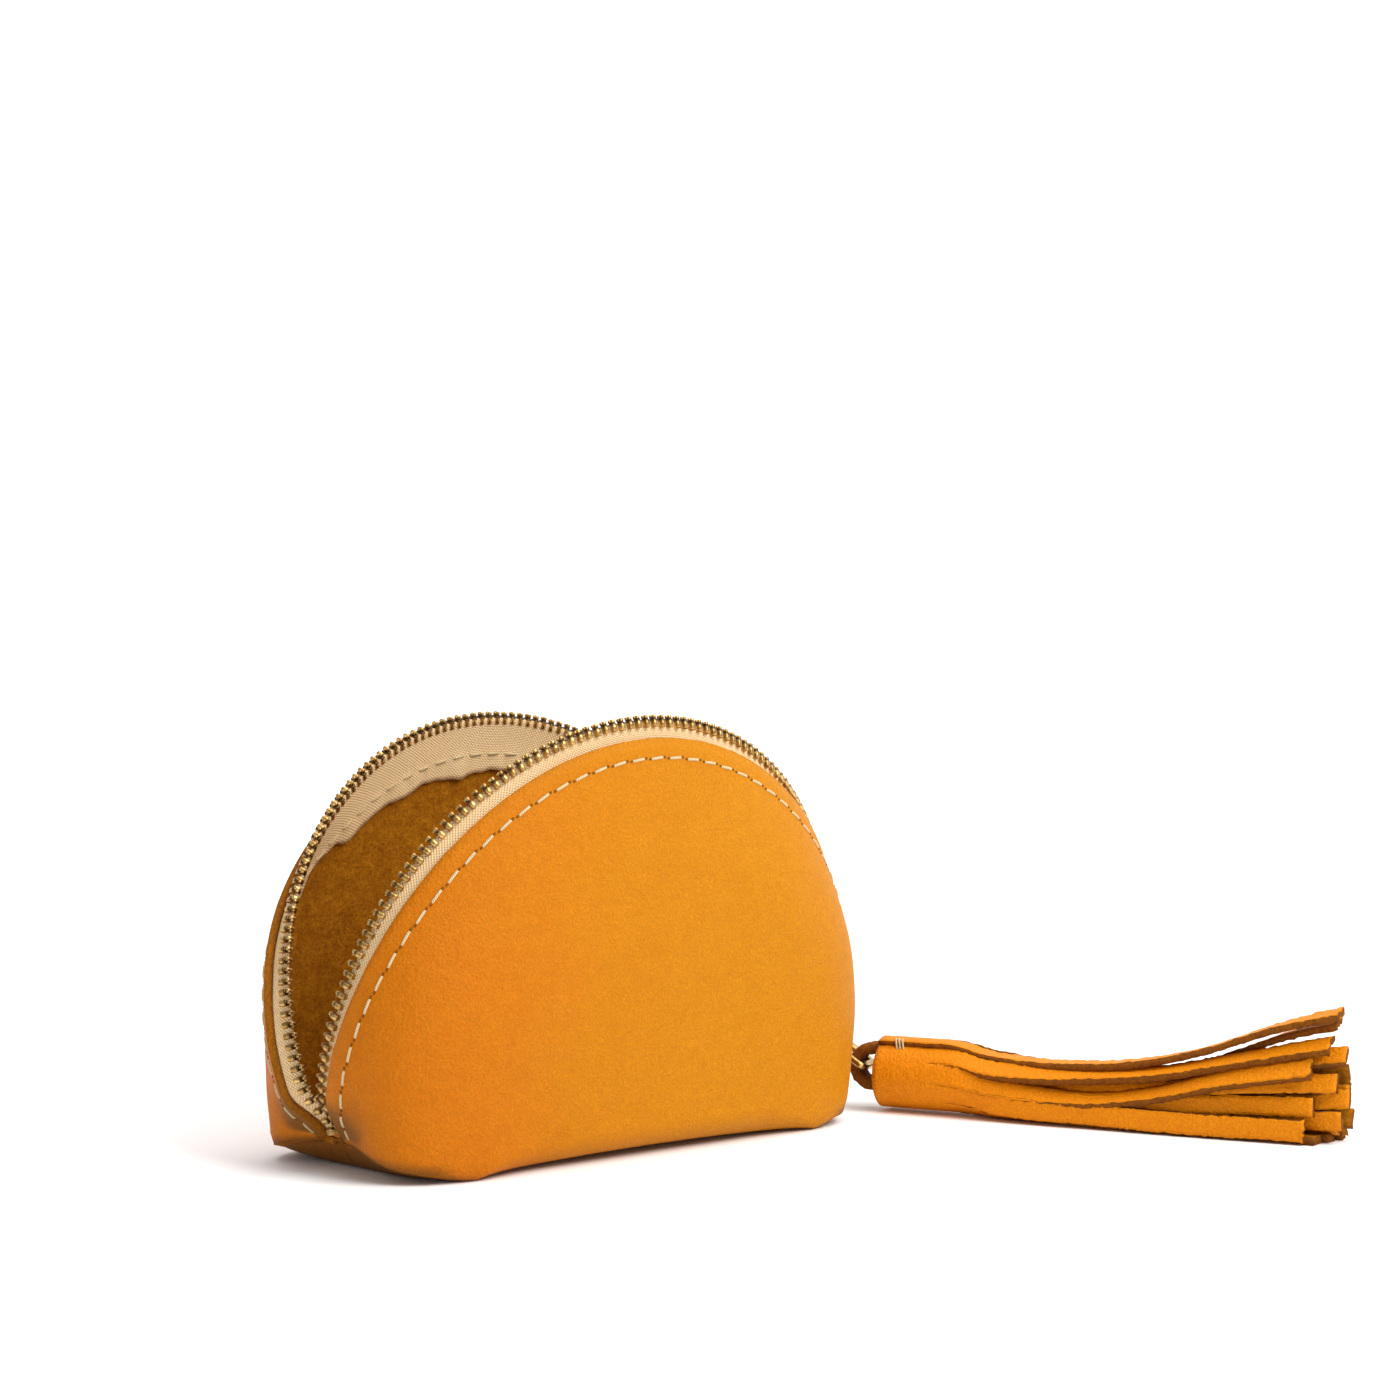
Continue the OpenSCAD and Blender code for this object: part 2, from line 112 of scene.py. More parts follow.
def open_out(points, side, height):
    """Turns points of the closed mouth out about the fold line, as far as their height lets them."""
    tilt = np.radians(OPEN_TILT) * smooth((height - BEND_LOW) / (BEND_HIGH - BEND_LOW))
    y, z = points[..., 1], points[..., 2] - FOLD_Z
    c, k = np.cos(tilt), side * np.sin(tilt)
    return np.stack([points[..., 0], y * c + z * k, FOLD_Z - y * k + z * c], -1)


def closed_tip(a):
    """Tips of the teeth in the closed mouth, with the zip's closed end drawn in at its foot."""
    z = ARC_Z + ARC_R * sin_d(a)
    pulled_in = END_PULL * smooth((24 - z) / 14.5) * (cos_d(a) < 0)
    return np.stack([ARC_R * cos_d(a) + pulled_in, 0 * a, z], -1)


def closed_run(a, side):
    """Direction of the tape in the closed mouth, away from the tips of the teeth."""
    flare = END_FLARE * smooth((np.abs(a - 90) - 40) / 35) * (side == BACK)
    slope = 90 + flare - (90 - APEX_LEAN) * np.maximum(0, sin_d(a))
    return np.stack([-cos_d(slope) * cos_d(a), side * sin_d(slope), -cos_d(slope) * sin_d(a)], -1)


def reach(a):
    """Distance from the tips of the teeth to the leather's edge."""
    from_end = np.minimum(a - END_A, 180 - END_A - a)
    return END_REACH + (EDGE_REACH - END_REACH) * smooth(from_end / 9)


def along_tape(a, s, side):
    """Point s mm from the tips of the teeth, on the tape, in the open mouth."""
    tip = closed_tip(a)
    return open_out(tip + np.asarray(s)[..., None] * closed_run(a, side), side, tip[..., 2])


def squared(v, n):
    """Cosine or sine of a rounded box: the higher n, the squarer its corners."""
    return np.sign(v) * np.abs(v) ** (2 / n)


def waist(a, side):
    """Foot of a side: the closing seam at the ends, the top of the rounded edge along the front."""
    t = (a - END_A) / (180 - 2 * END_A)
    start = math.asin((END_REACH / (WAIST_W / 2)) ** 2.4)
    turn = start + (math.pi - 2 * start) * t
    x = WAIST_L / 2 * squared(np.cos(turn), WAIST_SQUARE)
    y = WAIST_W / 2 * squared(np.sin(turn), WAIST_SQUARE)
    round_r = ROUND_R * smooth((1 - np.abs(x) / 66) / 0.45)
    seam = (SEAM_Z - WAIST_Z) * np.clip(1 - (y / (WAIST_W / 2)) ** 2.2, 0, 1)
    z = WAIST_Z + np.maximum(round_r, seam)
    x = x + END_PULL * smooth(1.08 - y / 26) * (x < 0)
    return np.stack([x, side * y, z], -1), turn


def foot(turn, side):
    """Outline that the base stands on, arched a little along its middle."""
    x = FOOT_L / 2 * squared(np.cos(turn), FOOT_SQUARE)
    y = FOOT_W / 2 * squared(np.sin(turn), FOOT_SQUARE)
    arch = 1.5 * np.clip(1 - (x / 58) ** 2, 0, 1) * smooth(y / 20)
    return np.stack([x, side * y, STAND_Z + LEATHER + arch], -1)


def hermite(p, tp, q, tq, v):
    """Smooth run from p to q, leaving along tp and arriving along tq."""
    return ((2 * v**3 - 3 * v**2 + 1) * p + (v**3 - 2 * v**2 + v) * tp
            + (3 * v**2 - 2 * v**3) * q + (v**3 - v**2) * tq)


WALL_ROWS, UNDER_ROWS, FLOOR_ROWS = 34, 10, 5   # grid rows down the wall, round the edge, over the base


def side_grid(side, columns=261):
    """Inner face of one half of the pouch, with the arc angle of each column.
    Columns run along the mouth, rows from its edge to the base's middle."""
    a = np.linspace(END_A + 0.15, 180 - END_A - 0.15, columns)
    edge = along_tape(a, reach(a), side)
    run = along_tape(a, reach(a) + 1, side) - edge
    low, turn = waist(a, side)
    length = np.linalg.norm(low - edge, axis=-1, keepdims=True)
    inward = np.stack([-np.sign(np.cos(turn)) * np.abs(np.cos(turn)) ** 3 * WALL_BULGE[side],
                       -side * np.sin(turn) * 0.10, -np.ones_like(turn)], -1)
    stiff = 0.85 * smooth((np.abs(a - 90) - 35) / 35)[:, None] * (side == BACK)
    away = np.stack([-np.sign(cos_d(a)) * 0.42, 0 * a + side * 0.50, 0 * a - 0.12], -1)
    leave = run * (1 - stiff) + away * stiff
    rows = [hermite(edge, leave * length, low, inward * length, v)
            for v in np.linspace(0, 1, WALL_ROWS + 1)]
    ground = foot(turn, side)
    crease = smooth((np.abs(low[:, 0]) - CREASE_X) / CREASE_RUN)[:, None]
    endward = np.stack([np.sign(low[:, 0]), 0 * turn, 0 * turn], -1)
    low = low - crease * (endward * LIP_IN + np.array([0, side * 0.4, 0.3]))
    rows.append(low)
    for s in np.linspace(0, 1, UNDER_ROWS)[1:]:
        across = (1 - crease) * (1 - math.cos(s * math.pi / 2)) + crease * s**1.15
        down = (1 - crease) * math.sin(s * math.pi / 2) + crease * (s + 0.12 * math.sin(s * math.pi))
        flat = low[:, :2] + (ground - low)[:, :2] * across
        z = low[:, 2:] + (ground - low)[:, 2:] * np.minimum(down, 1)
        rows.append(np.concatenate([flat, z], 1))
    for s in np.linspace(0, 1, FLOOR_ROWS + 1)[1:]:
        p = ground.copy()
        p[:, 1] *= 1 - s
        rows.append(p)
    grid = np.stack(rows, 1)
    # the flap under each end of the zip runs on to the middle line
    shares = (0, 0.34, 0.67)
    first = np.stack([grid[0] * (1, share, 1) for share in shares])
    last = np.stack([grid[-1] * (1, share, 1) for share in shares[::-1]])
    beyond = np.array([0.03, 0.02, 0.01])
    return np.concatenate([first, grid, last]), np.concatenate([a[0] - beyond, a, a[-1] + beyond[::-1]])


def normals_of(grid, side):
    """Outward directions of a side's grid."""
    du = np.gradient(grid, axis=0)
    dv = np.gradient(grid, axis=1)
    n = np.cross(dv, du) * side
    size = np.linalg.norm(n, axis=-1, keepdims=True)
    n = n / np.maximum(size, 1e-9)
    # the cramped cells at the ends of the mouth take the normal of their neighbours
    for _ in range(3):
        n[1:-1] = (n[:-2] + 2 * n[1:-1] + n[2:]) / 4
        n[0], n[-1] = n[1], n[-2]
        n /= np.maximum(np.linalg.norm(n, axis=-1, keepdims=True), 1e-9)
    return n


def ripple(p, scale, seed):
    """Smooth noise from -1 to 1 at a point in millimetres."""
    return noise.noise(Vector(p) * scale + Vector((seed * 7.3, seed * 3.1, seed * 5.7)))


class Side:
    """Grid of one half of the pouch, which the leather, tape and stitches all lie on."""

    def __init__(self, side):
        self.side = side
        self.grid, self.a = side_grid(side)
        self.normal = normals_of(self.grid, side)
        dent = np.zeros(self.grid.shape[:2])
        for i, j in np.ndindex(len(self.a), WALL_ROWS + 1):
            fade = smooth(j / 10) * smooth((WALL_ROWS + 1 - j) / 8)
            fade *= smooth(min(i, len(self.a) - 1 - i) / 20)
            dent[i, j] = fade * (ripple(self.grid[i, j], 1 / 34, 3 + side) * 0.9
                                 + ripple(self.grid[i, j], 1 / 14, 8 + side) * 0.3)
        self.grid = self.grid + dent[..., None] * self.normal
        self.normal = normals_of(self.grid, side)
        step = np.linalg.norm(np.diff(self.grid, axis=1), axis=-1)
        self.depth = np.concatenate([np.zeros((len(self.a), 1)), np.cumsum(step, 1)], 1)

    def at(self, a, depth, off=0.0):
        """Points at arc angle a, depth mm below the edge along the leather, off mm outside its inner face."""
        a, depth = np.broadcast_arrays(np.asarray(a, float), np.asarray(depth, float))
        out = np.zeros(a.shape + (3,))
        for k in np.ndindex(a.shape):
            i = np.clip(np.searchsorted(self.a, a[k]) - 1, 0, len(self.a) - 2)
            f = np.clip((a[k] - self.a[i]) / (self.a[i + 1] - self.a[i]), 0, 1)
            ends = [self._down(j, depth[k], off) for j in (i, i + 1)]
            out[k] = ends[0] * (1 - f) + ends[1] * f
        return out

    def _down(self, i, depth, off):
        """The same on one column, where a negative depth lies on the tape above the edge."""
        d = min(depth, self.depth[i, WALL_ROWS] * 0.97)
        if d < 0:
            run = along_tape(self.a[i], reach(self.a[i]) + 1, self.side) - self.grid[i, 0]
            return self.grid[i, 0] + d * run / np.linalg.norm(run) + off * self.normal[i, 0]
        j = np.clip(np.searchsorted(self.depth[i], d) - 1, 0, self.depth.shape[1] - 2)
        f = (d - self.depth[i, j]) / max(self.depth[i, j + 1] - self.depth[i, j], 1e-9)
        p = self.grid[i, j] * (1 - f) + self.grid[i, j + 1] * f
        n = self.normal[i, j] * (1 - f) + self.normal[i, j + 1] * f
        return p + off * n


# --------------------------------------------------------------------------
# Meshes
# --------------------------------------------------------------------------
def new_piece(name, points, faces, materials, face_material=None, smooth_faces=True):
    """A mesh object from points in millimetres."""
    mesh = bpy.data.meshes.new(name)
    mesh.from_pydata([tuple(p) for p in np.asarray(points) * MM], [], [tuple(f) for f in faces])
    for m in materials:
        mesh.materials.append(m)
    if face_material is not None:
        mesh.polygons.foreach_set("material_index", np.asarray(face_material, np.int32))
    mesh.polygons.foreach_set("use_smooth", np.full(len(mesh.polygons), smooth_faces))
    outward = bmesh.new()
    outward.from_mesh(mesh)
    bmesh.ops.recalc_face_normals(outward, faces=outward.faces)
    outward.to_mesh(mesh)
    outward.free()
    mesh.update()
    piece = bpy.data.objects.new(name, mesh)
    bpy.context.scene.collection.objects.link(piece)
    return piece


def slab_faces(n, m, flip):
    """Faces of a closed sheet between two n by m grids, with the number of the surface each is on:
    0 the first grid, 1 the second, 2 the rim."""
    def at(g, i, j):
        return g * n * m + i * m + j
    faces, kind = [], []
    for i in range(n - 1):
        for j in range(m - 1):
            faces.append((at(0, i, j), at(0, i, j + 1), at(0, i + 1, j + 1), at(0, i + 1, j)))
            faces.append((at(1, i, j), at(1, i + 1, j), at(1, i + 1, j + 1), at(1, i, j + 1)))
            kind += [0, 1]
    for i in range(n - 1):
        faces.append((at(0, i, 0), at(0, i + 1, 0), at(1, i + 1, 0), at(1, i, 0)))
        faces.append((at(0, i, m - 1), at(1, i, m - 1), at(1, i + 1, m - 1), at(0, i + 1, m - 1)))
        kind += [2, 2]
    for j in range(m - 1):
        faces.append((at(0, 0, j), at(1, 0, j), at(1, 0, j + 1), at(0, 0, j + 1)))
        faces.append((at(0, n - 1, j), at(0, n - 1, j + 1), at(1, n - 1, j + 1), at(1, n - 1, j)))
        kind += [2, 2]
    if flip:
        faces = [f[::-1] for f in faces]
    return faces, kind


def tube_faces(rings, sides):
    """Faces of a closed tube of rings, capped at both ends."""
    faces = []
    for i in range(rings - 1):
        for j in range(sides):
            k = (j + 1) % sides
            faces.append((i * sides + j, i * sides + k, (i + 1) * sides + k, (i + 1) * sides + j))
    faces.append(tuple(range(sides))[::-1])
    faces.append(tuple((rings - 1) * sides + j for j in range(sides)))
    return faces


# --------------------------------------------------------------------------
# Shader maths
# --------------------------------------------------------------------------
BLACK, WHITE = (0, 0, 0), (1, 1, 1)


class Value:
    """A number in a shader: arithmetic on it adds Math nodes."""

    def __init__(self, shader, socket):
        self.shader = shader
        self.socket = socket

    def _math(self, operation, *terms):
        return self.shader.node("ShaderNodeMath", {"operation": operation}, terms)

    def __add__(self, other):
        return self._math("ADD", self, other)

    def __sub__(self, other):
        return self._math("SUBTRACT", self, other)

    def __mul__(self, other):
        return self._math("MULTIPLY", self, other)

    def __pow__(self, other):
        return self._math("POWER", self, other)

    def sine(self):
        return self._math("SINE", self)


class Shader:
    """A material built node by node."""

    def __init__(self, name, **surface):
        self.material = bpy.data.materials.new(name)
        self.material.use_nodes = True
        self.nodes = self.material.node_tree.nodes
        self.links = self.material.node_tree.links
        self.surface = self.nodes["Principled BSDF"]
        for socket, value in surface.items():
            self.surface.inputs[socket.replace("_", " ")].default_value = value

    def node(self, kind, settings, inputs, output=0):
        """Adds any node: its settings first, then the values or links of its sockets, by order or by name."""
        made = self.nodes.new(kind)
        for key, value in settings.items():
            if key == "stops":
                self._set_stops(made.color_ramp, value)
            else:
                setattr(made, key, value)
        pairs = inputs.items() if isinstance(inputs, dict) else enumerate(inputs)
        for key, value in pairs:
            self._feed(made.inputs[key], value)
        return Value(self, made.outputs[output])

    def _feed(self, socket, value):
        if isinstance(value, Value):
            self.links.new(value.socket, socket)
        else:
            socket.default_value = value

    @staticmethod
    def _set_stops(ramp, stops):
        while len(ramp.elements) < len(stops):
            ramp.elements.new(0.5)
        for element, (place, colour) in zip(ramp.elements, stops):
            element.position = place
            element.color = (*colour, 1)

    def place(self):
        return self.node("ShaderNodeTexCoord", {}, {}, "Object")

    def along_pouch(self):
        """Distance along the pouch from its middle, in metres."""
        return self.node("ShaderNodeSeparateXYZ", {}, {0: self.place()})

    def own(self, name):
        """A value kept on the piece's own points."""
        return self.node("ShaderNodeAttribute", {"attribute_name": name}, {}, "Fac")

    def uv(self):
        """The piece's own map: along it and across it, in millimetres."""
        at = self.node("ShaderNodeUVMap", {"uv_map": "lie"}, {})
        along = self.node("ShaderNodeSeparateXYZ", {}, {0: at})
        return along, Value(self, along.socket.node.outputs["Y"])

    def noise(self, scale, detail=3.0, roughness=0.55):
        return self.node("ShaderNodeTexNoise", {}, {"Vector": self.place(), "Scale": scale,
                                                    "Detail": detail, "Roughness": roughness})

    def pebble(self, scale):
        return self.node("ShaderNodeTexVoronoi", {"feature": "SMOOTH_F1"},
                         {"Vector": self.place(), "Scale": scale, "Smoothness": 0.6}, "Distance")

    def ramp(self, value, *stops):
        return self.node("ShaderNodeValToRGB", {"stops": stops}, {0: value})

    def rise(self, value, low, high):
        """Nought below low, one above high."""
        return self.ramp(value, (low, BLACK), (high, WHITE))

    def mix(self, factor, first, second):
        return self.node("ShaderNodeMix", {"data_type": "RGBA"},
                         {"Factor": factor, 6: self._colour(first), 7: self._colour(second)}, 2)

    @staticmethod
    def _colour(value):
        return value if isinstance(value, Value) else (*value, 1)

    def finish(self, colour, roughness, height=None, depth=0.0001, metallic=0.0):
        """Feeds the surface, with bump from height, which is depth metres deep."""
        self._feed(self.surface.inputs["Base Color"], colour)
        self._feed(self.surface.inputs["Roughness"], roughness)
        self._feed(self.surface.inputs["Metallic"], metallic)
        if height is not None:
            bump = self.node("ShaderNodeBump", {}, {"Strength": 1.0, "Distance": depth, "Height": height})
            self._feed(self.surface.inputs["Normal"], bump)
        return self.material


# --------------------------------------------------------------------------
# Finishes
# --------------------------------------------------------------------------
SAFFRON = (0.59, 0.198, 0.0)
AMBER = (0.60, 0.228, 0.002)
RUSSET = (0.61, 0.138, 0.0)
UMBER = (0.13, 0.055, 0.006)
WEAVE_ALONG, WEAVE_ACROSS = 1.05, 0.95   # repeat of the tape's weave, in millimetres


def grain_leather(name, base=SAFFRON, light=AMBER, deep=RUSSET, rubbed=None):
    """Smooth hide, dyed through: fine grain, cloudy colour and a low wax sheen.
    The last argument names the piece's own value for how far painted shade darkens it brown."""
    s = Shader(name, Specular_IOR_Level=0.12)
    cloud = s.noise(13, 3)
    mottle = s.noise(260, 4, 0.65)
    # painted shade: the colour deepens towards the pouch's left end, which is less lit
    tone = (cloud - 0.5) * 0.7 + (s.along_pouch() + 0.02) * 9 + 0.55
    colour = s.ramp(tone, (0.10, deep), (0.50, base), (1.0, light))
    fleck = s.ramp(mottle, (0.36, tuple(c * 0.86 for c in base)), (0.60, light))
    colour = s.mix(0.30, colour, fleck)
    fine = s.noise(1900, 3, 0.6)
    pores = s.ramp(fine, (0.44, (0.42, 0.42, 0.42)), (0.62, BLACK))
    colour = s.mix(pores, colour, tuple(c * 0.6 for c in base))
    if rubbed:
        # painted shade: brown where the base's ends face down
        colour = s.mix(s.own(rubbed) * 0.8, colour, UMBER)
    height = fine * 0.55 + s.pebble(1250) * 0.45 + mottle * 0.9
    return s.finish(colour, fine * 0.16 + cloud * 0.10 + 0.42, height, 0.00045)


def suede(name):
    """Flesh side of the hide: napped and dull, darker in its hollows."""
    s = Shader(name, Specular_IOR_Level=0.08)
    nap = s.noise(900, 5, 0.75)
    tuft = s.noise(240, 4, 0.6)
    colour = s.mix(s.rise(tuft, 0.3, 0.7), (0.36, 0.120, 0.002), (0.56, 0.215, 0.008))
    colour = s.mix(s.rise(nap, 0.40, 0.72), colour, (0.24, 0.072, 0.002))
    return s.finish(colour, 0.92, nap + tuft * 0.6, 0.0008)


def cut_edge(name, base, deep, light):
    """Raw cut through the hide, with loose fibres."""
    s = Shader(name, Specular_IOR_Level=0.2)
    fibre = s.noise(1300, 5, 0.8)
    patch = s.noise(300, 3)
    colour = s.mix(s.rise(fibre, 0.38, 0.62), deep, base)
    colour = s.mix(patch * 0.6, colour, light)
    return s.finish(colour, 0.88, fibre + patch * 0.5, 0.0009)


def woven_tape(name):
    """Cotton zip tape: a close weave seen as small beads, cream with beige between."""
    s = Shader(name, Specular_IOR_Level=0.1)
    along, across = s.uv()
    bead = (along * (2 * math.pi / WEAVE_ALONG)).sine() * (across * (2 * math.pi / WEAVE_ACROSS)).sine()
    rib = (across * (4 * math.pi / WEAVE_ACROSS)).sine()
    weave = bead * 0.38 + rib * 0.14 + 0.5
    stain = s.noise(90, 3)
    colour = s.ramp(weave, (0.12, (0.60, 0.34, 0.13)), (0.40, (0.93, 0.66, 0.37)), (0.80, (1.0, 0.82, 0.53)))
    colour = s.mix(stain * 0.5, colour, (0.86, 0.54, 0.22))
    return s.finish(colour, 0.9, weave, 0.00035)


def brass(name, bright, dull, rough, socket=None):
    """Old brass, bright with dull patches, and with the colour socket as tarnish and painted shade in the
    hollow behind a tooth's head.
    """
    s = Shader(name)
    patina = s.noise(520, 4, 0.7)
    wear = s.noise(2600, 2)
    colour = s.mix(s.rise(patina, 0.40, 0.66), dull, bright)
    if socket:
        # tarnish and painted shade darken the hollow between a tooth's head and its shank
        _, from_tip = s.uv()
        tarnish_and_shade = (0.9, 0.9, 0.9)
        hollow = s.ramp(from_tip * 0.25, (0.12, BLACK), (0.24, tarnish_and_shade), (0.36, tarnish_and_shade), (0.46, BLACK))
        colour = s.mix(hollow, colour, socket)
    return s.finish(colour, wear * 0.22 + rough - 0.06, wear, 0.00003, 0.96)


def waxed_thread(name, colour):
    """Twisted thread: a spiral of plies, taken from the stitch's own map."""
    s = Shader(name, Specular_IOR_Level=0.3)
    along, across = s.uv()
    ply = ((along * 1.7 + across) * (2 * math.pi)).sine() * 0.5 + 0.5
    tint = s.mix(ply ** 0.8, tuple(c * 0.62 for c in colour), colour)
    return s.finish(s.mix(s.noise(400) * 0.3, tint, (0.72, 0.52, 0.30)), 0.62, ply, 0.00018)


def hole_dark(name):
    """Painted shade: the dark inside of a needle's hole."""
    s = Shader(name, Specular_IOR_Level=0.1)
    tone = s.noise(1500, 2)
    return s.finish(s.mix(tone, (0.16, 0.050, 0.004), (0.28, 0.095, 0.008)), 0.95, tone, 0.0001)


# the hide takes painted shade where the base's ends face down
hide = grain_leather("dyed_hide", rubbed="rubbed")
flesh = suede("hide_flesh_side")
raw_edge = cut_edge("hide_cut_edge", (0.50, 0.165, 0.004), (0.20, 0.055, 0.002), (0.62, 0.225, 0.008))
tassel_hide = grain_leather("tassel_hide", (0.80, 0.215, 0.0), (0.82, 0.27, 0.002), (0.76, 0.18, 0.0))
tassel_edge = cut_edge("tassel_cut_edge", (0.34, 0.100, 0.004), (0.10, 0.028, 0.002), (0.42, 0.140, 0.005))
loop_hide = cut_edge("loop_hide", (0.34, 0.105, 0.005), (0.13, 0.036, 0.002), (0.46, 0.150, 0.006))
tape_cloth = woven_tape("zip_tape_cloth")
# its last colour is tarnish and painted shade in each tooth's hollow
tooth_brass = brass("tooth_brass", (0.74, 0.49, 0.18), (0.34, 0.18, 0.05), 0.28, (0.07, 0.035, 0.012))
pull_brass = brass("puller_brass", (0.70, 0.46, 0.16), (0.40, 0.23, 0.07), 0.20)
thread_cream = waxed_thread("cream_thread", (0.84, 0.66, 0.36))
# a dark finish as painted shade inside the needle holes
needle_hole = hole_dark("needle_holes")


# --------------------------------------------------------------------------
# Rows of small things, made with Geometry Nodes
# --------------------------------------------------------------------------
def row_tree():
    """Sets a unit on every point, turned as the point's own attribute says."""
    tree = bpy.data.node_groups.new("row_of_units", "GeometryNodeTree")
    face = tree.interface
    face.new_socket("Geometry", in_out="INPUT", socket_type="NodeSocketGeometry")
    face.new_socket("Unit", in_out="INPUT", socket_type="NodeSocketObject")
    face.new_socket("Size", in_out="INPUT", socket_type="NodeSocketFloat")
    face.new_socket("Finish", in_out="INPUT", socket_type="NodeSocketMaterial")
    face.new_socket("Geometry", in_out="OUTPUT", socket_type="NodeSocketGeometry")
    add = tree.nodes.new
    source, result = add("NodeGroupInput"), add("NodeGroupOutput")
    turn = add("GeometryNodeInputNamedAttribute")
    turn.data_type = "FLOAT_VECTOR"
    turn.inputs["Name"].default_value = "turn"
    euler = add("FunctionNodeEulerToRotation")
    unit = add("GeometryNodeObjectInfo")
    spread = add("GeometryNodeInstanceOnPoints")
    real = add("GeometryNodeRealizeInstances")
    finish = add("GeometryNodeSetMaterial")
    link = tree.links.new
    link(source.outputs["Geometry"], spread.inputs["Points"])
    link(source.outputs["Unit"], unit.inputs["Object"])
    link(unit.outputs["Geometry"], spread.inputs["Instance"])
    link(turn.outputs["Attribute"], euler.inputs[0])
    link(euler.outputs[0], spread.inputs["Rotation"])
    link(source.outputs["Size"], spread.inputs["Scale"])
    link(spread.outputs["Instances"], real.inputs["Geometry"])
    link(real.outputs["Geometry"], finish.inputs["Geometry"])
    link(source.outputs["Finish"], finish.inputs["Material"])
    link(finish.outputs["Geometry"], result.inputs["Geometry"])
    return tree


ROW_TREE = row_tree()


def row_of(name, unit, centres, frames, finish):
    """One mesh of copies of unit, at centres in millimetres, with frames of unit x, y and z directions."""
    mesh = bpy.data.meshes.new(name + "_points")
    mesh.from_pydata([tuple(c) for c in np.asarray(centres) * MM], [], [])
    turns = mesh.attributes.new("turn", "FLOAT_VECTOR", "POINT")
    for k, (x, y, z) in enumerate(frames):
        turns.data[k].vector = Matrix((x, y, z)).transposed().to_euler()
    points = bpy.data.objects.new(name + "_points", mesh)
    bpy.context.scene.collection.objects.link(points)
    modifier = points.modifiers.new("row", "NODES")
    modifier.node_group = ROW_TREE
    names = {i.name: i.identifier for i in ROW_TREE.interface.items_tree if i.in_out == "INPUT"}
    modifier[names["Unit"]] = unit
    modifier[names["Size"]] = 1.0
    modifier[names["Finish"]] = finish
    bpy.context.view_layer.update()
    depsgraph = bpy.context.evaluated_depsgraph_get()
    made = bpy.data.meshes.new_from_object(points.evaluated_get(depsgraph))
    made.name = name
    if "turn" in made.attributes:
        made.attributes.remove(made.attributes["turn"])
    bpy.data.objects.remove(points)
    piece = bpy.data.objects.new(name, made)
    bpy.context.scene.collection.objects.link(piece)
    return piece


def unit_object(name, points, faces):
    """A unit for a row; it is taken out of the scene once its rows are made."""
    unit = new_piece(name, points, faces, [])
    add_map(unit, lambda p: (p[0] / MM, math.atan2(p[2], p[1]) / (2 * math.pi)))
    return unit


def add_map(piece, rule):
    """Gives a piece its own map, from each corner's place."""
    layer = piece.data.uv_layers.new(name="lie")
    for loop in piece.data.loops:
        layer.data[loop.index].uv = rule(piece.data.vertices[loop.vertex_index].co)


def block(low, high, chamfer):
    """Points and faces of a box whose edges are cut by chamfer."""
    low, high = np.asarray(low, float), np.asarray(high, float)
    mid, half = (low + high) / 2, (high - low) / 2
    points, index = [], {}
    for axis in range(3):
        for sign in np.ndindex(2, 2, 2):
            s = np.array(sign) * 2 - 1
            inner = half - chamfer
            inner[axis] = half[axis]
            index[(axis, *sign)] = len(points)
            points.append(mid + s * inner)
    faces = []
    corners = [(0, 0), (1, 0), (1, 1), (0, 1)]
    for axis in range(3):
        for side in (0, 1):
            ring = []
            for c in corners:
                sign = [0, 0, 0]
                sign[axis] = side
                sign[(axis + 1) % 3], sign[(axis + 2) % 3] = c
                ring.append(index[(axis, *sign)])
            faces.append(tuple(ring if side else ring[::-1]))
    for axis, sb, sc in np.ndindex(3, 2, 2):
        b, c = (axis + 1) % 3, (axis + 2) % 3
        lo, hi = [0, 0, 0], [0, 0, 0]
        lo[b] = hi[b] = sb
        lo[c] = hi[c] = sc
        hi[axis] = 1
        ring = [index[(b, *lo)], index[(b, *hi)], index[(c, *hi)], index[(c, *lo)]]
        faces.append(tuple(ring if sb == sc else ring[::-1]))
    for sign in np.ndindex(2, 2, 2):
        ring = [index[(axis, *sign)] for axis in range(3)]
        faces.append(tuple(ring if sum(sign) % 2 else ring[::-1]))
    return points, faces


def joined(parts):
    """Several sets of points and faces as one."""
    points, faces = [], []
    for p, f in parts:
        shift = len(points)
        points += list(p)
        faces += [tuple(i + shift for i in face) for face in f]
    return points, faces


def tooth_unit():
    """x out of the tape, y from the tip to the root, z along the row."""
    clasp = block((-1.3, 1.15, -0.72), (1.3, 3.4, 0.72), 0.22)
    head = block((-0.95, 0.0, -0.62), (0.95, 1.4, 0.40), 0.2)
    nib = block((-0.45, 0.12, 0.3), (0.45, 0.85, 0.95), 0.14)
    made = new_piece("tooth", *joined([clasp, head, nib]), [])
    add_map(made, lambda p: (p[0] / MM, p[1] / MM))
    return made


def stitch_unit():
    """A stitch along x, bowed out along z, its ends going down into the leather."""
    rings, sides = 9, 8
    points = []
    for i in range(rings):
        t = i / (rings - 1) * 2 - 1
        r = THREAD_R * (1 - 0.45 * abs(t) ** 6)
        lift = -0.75 * abs(t) ** 5
        for k in range(sides):
            w = 2 * math.pi * k / sides
            points.append((STITCH_L / 2 * t, r * math.cos(w), r * math.sin(w) * 0.9 + lift))
    return unit_object("stitch", points, tube_faces(rings, sides))


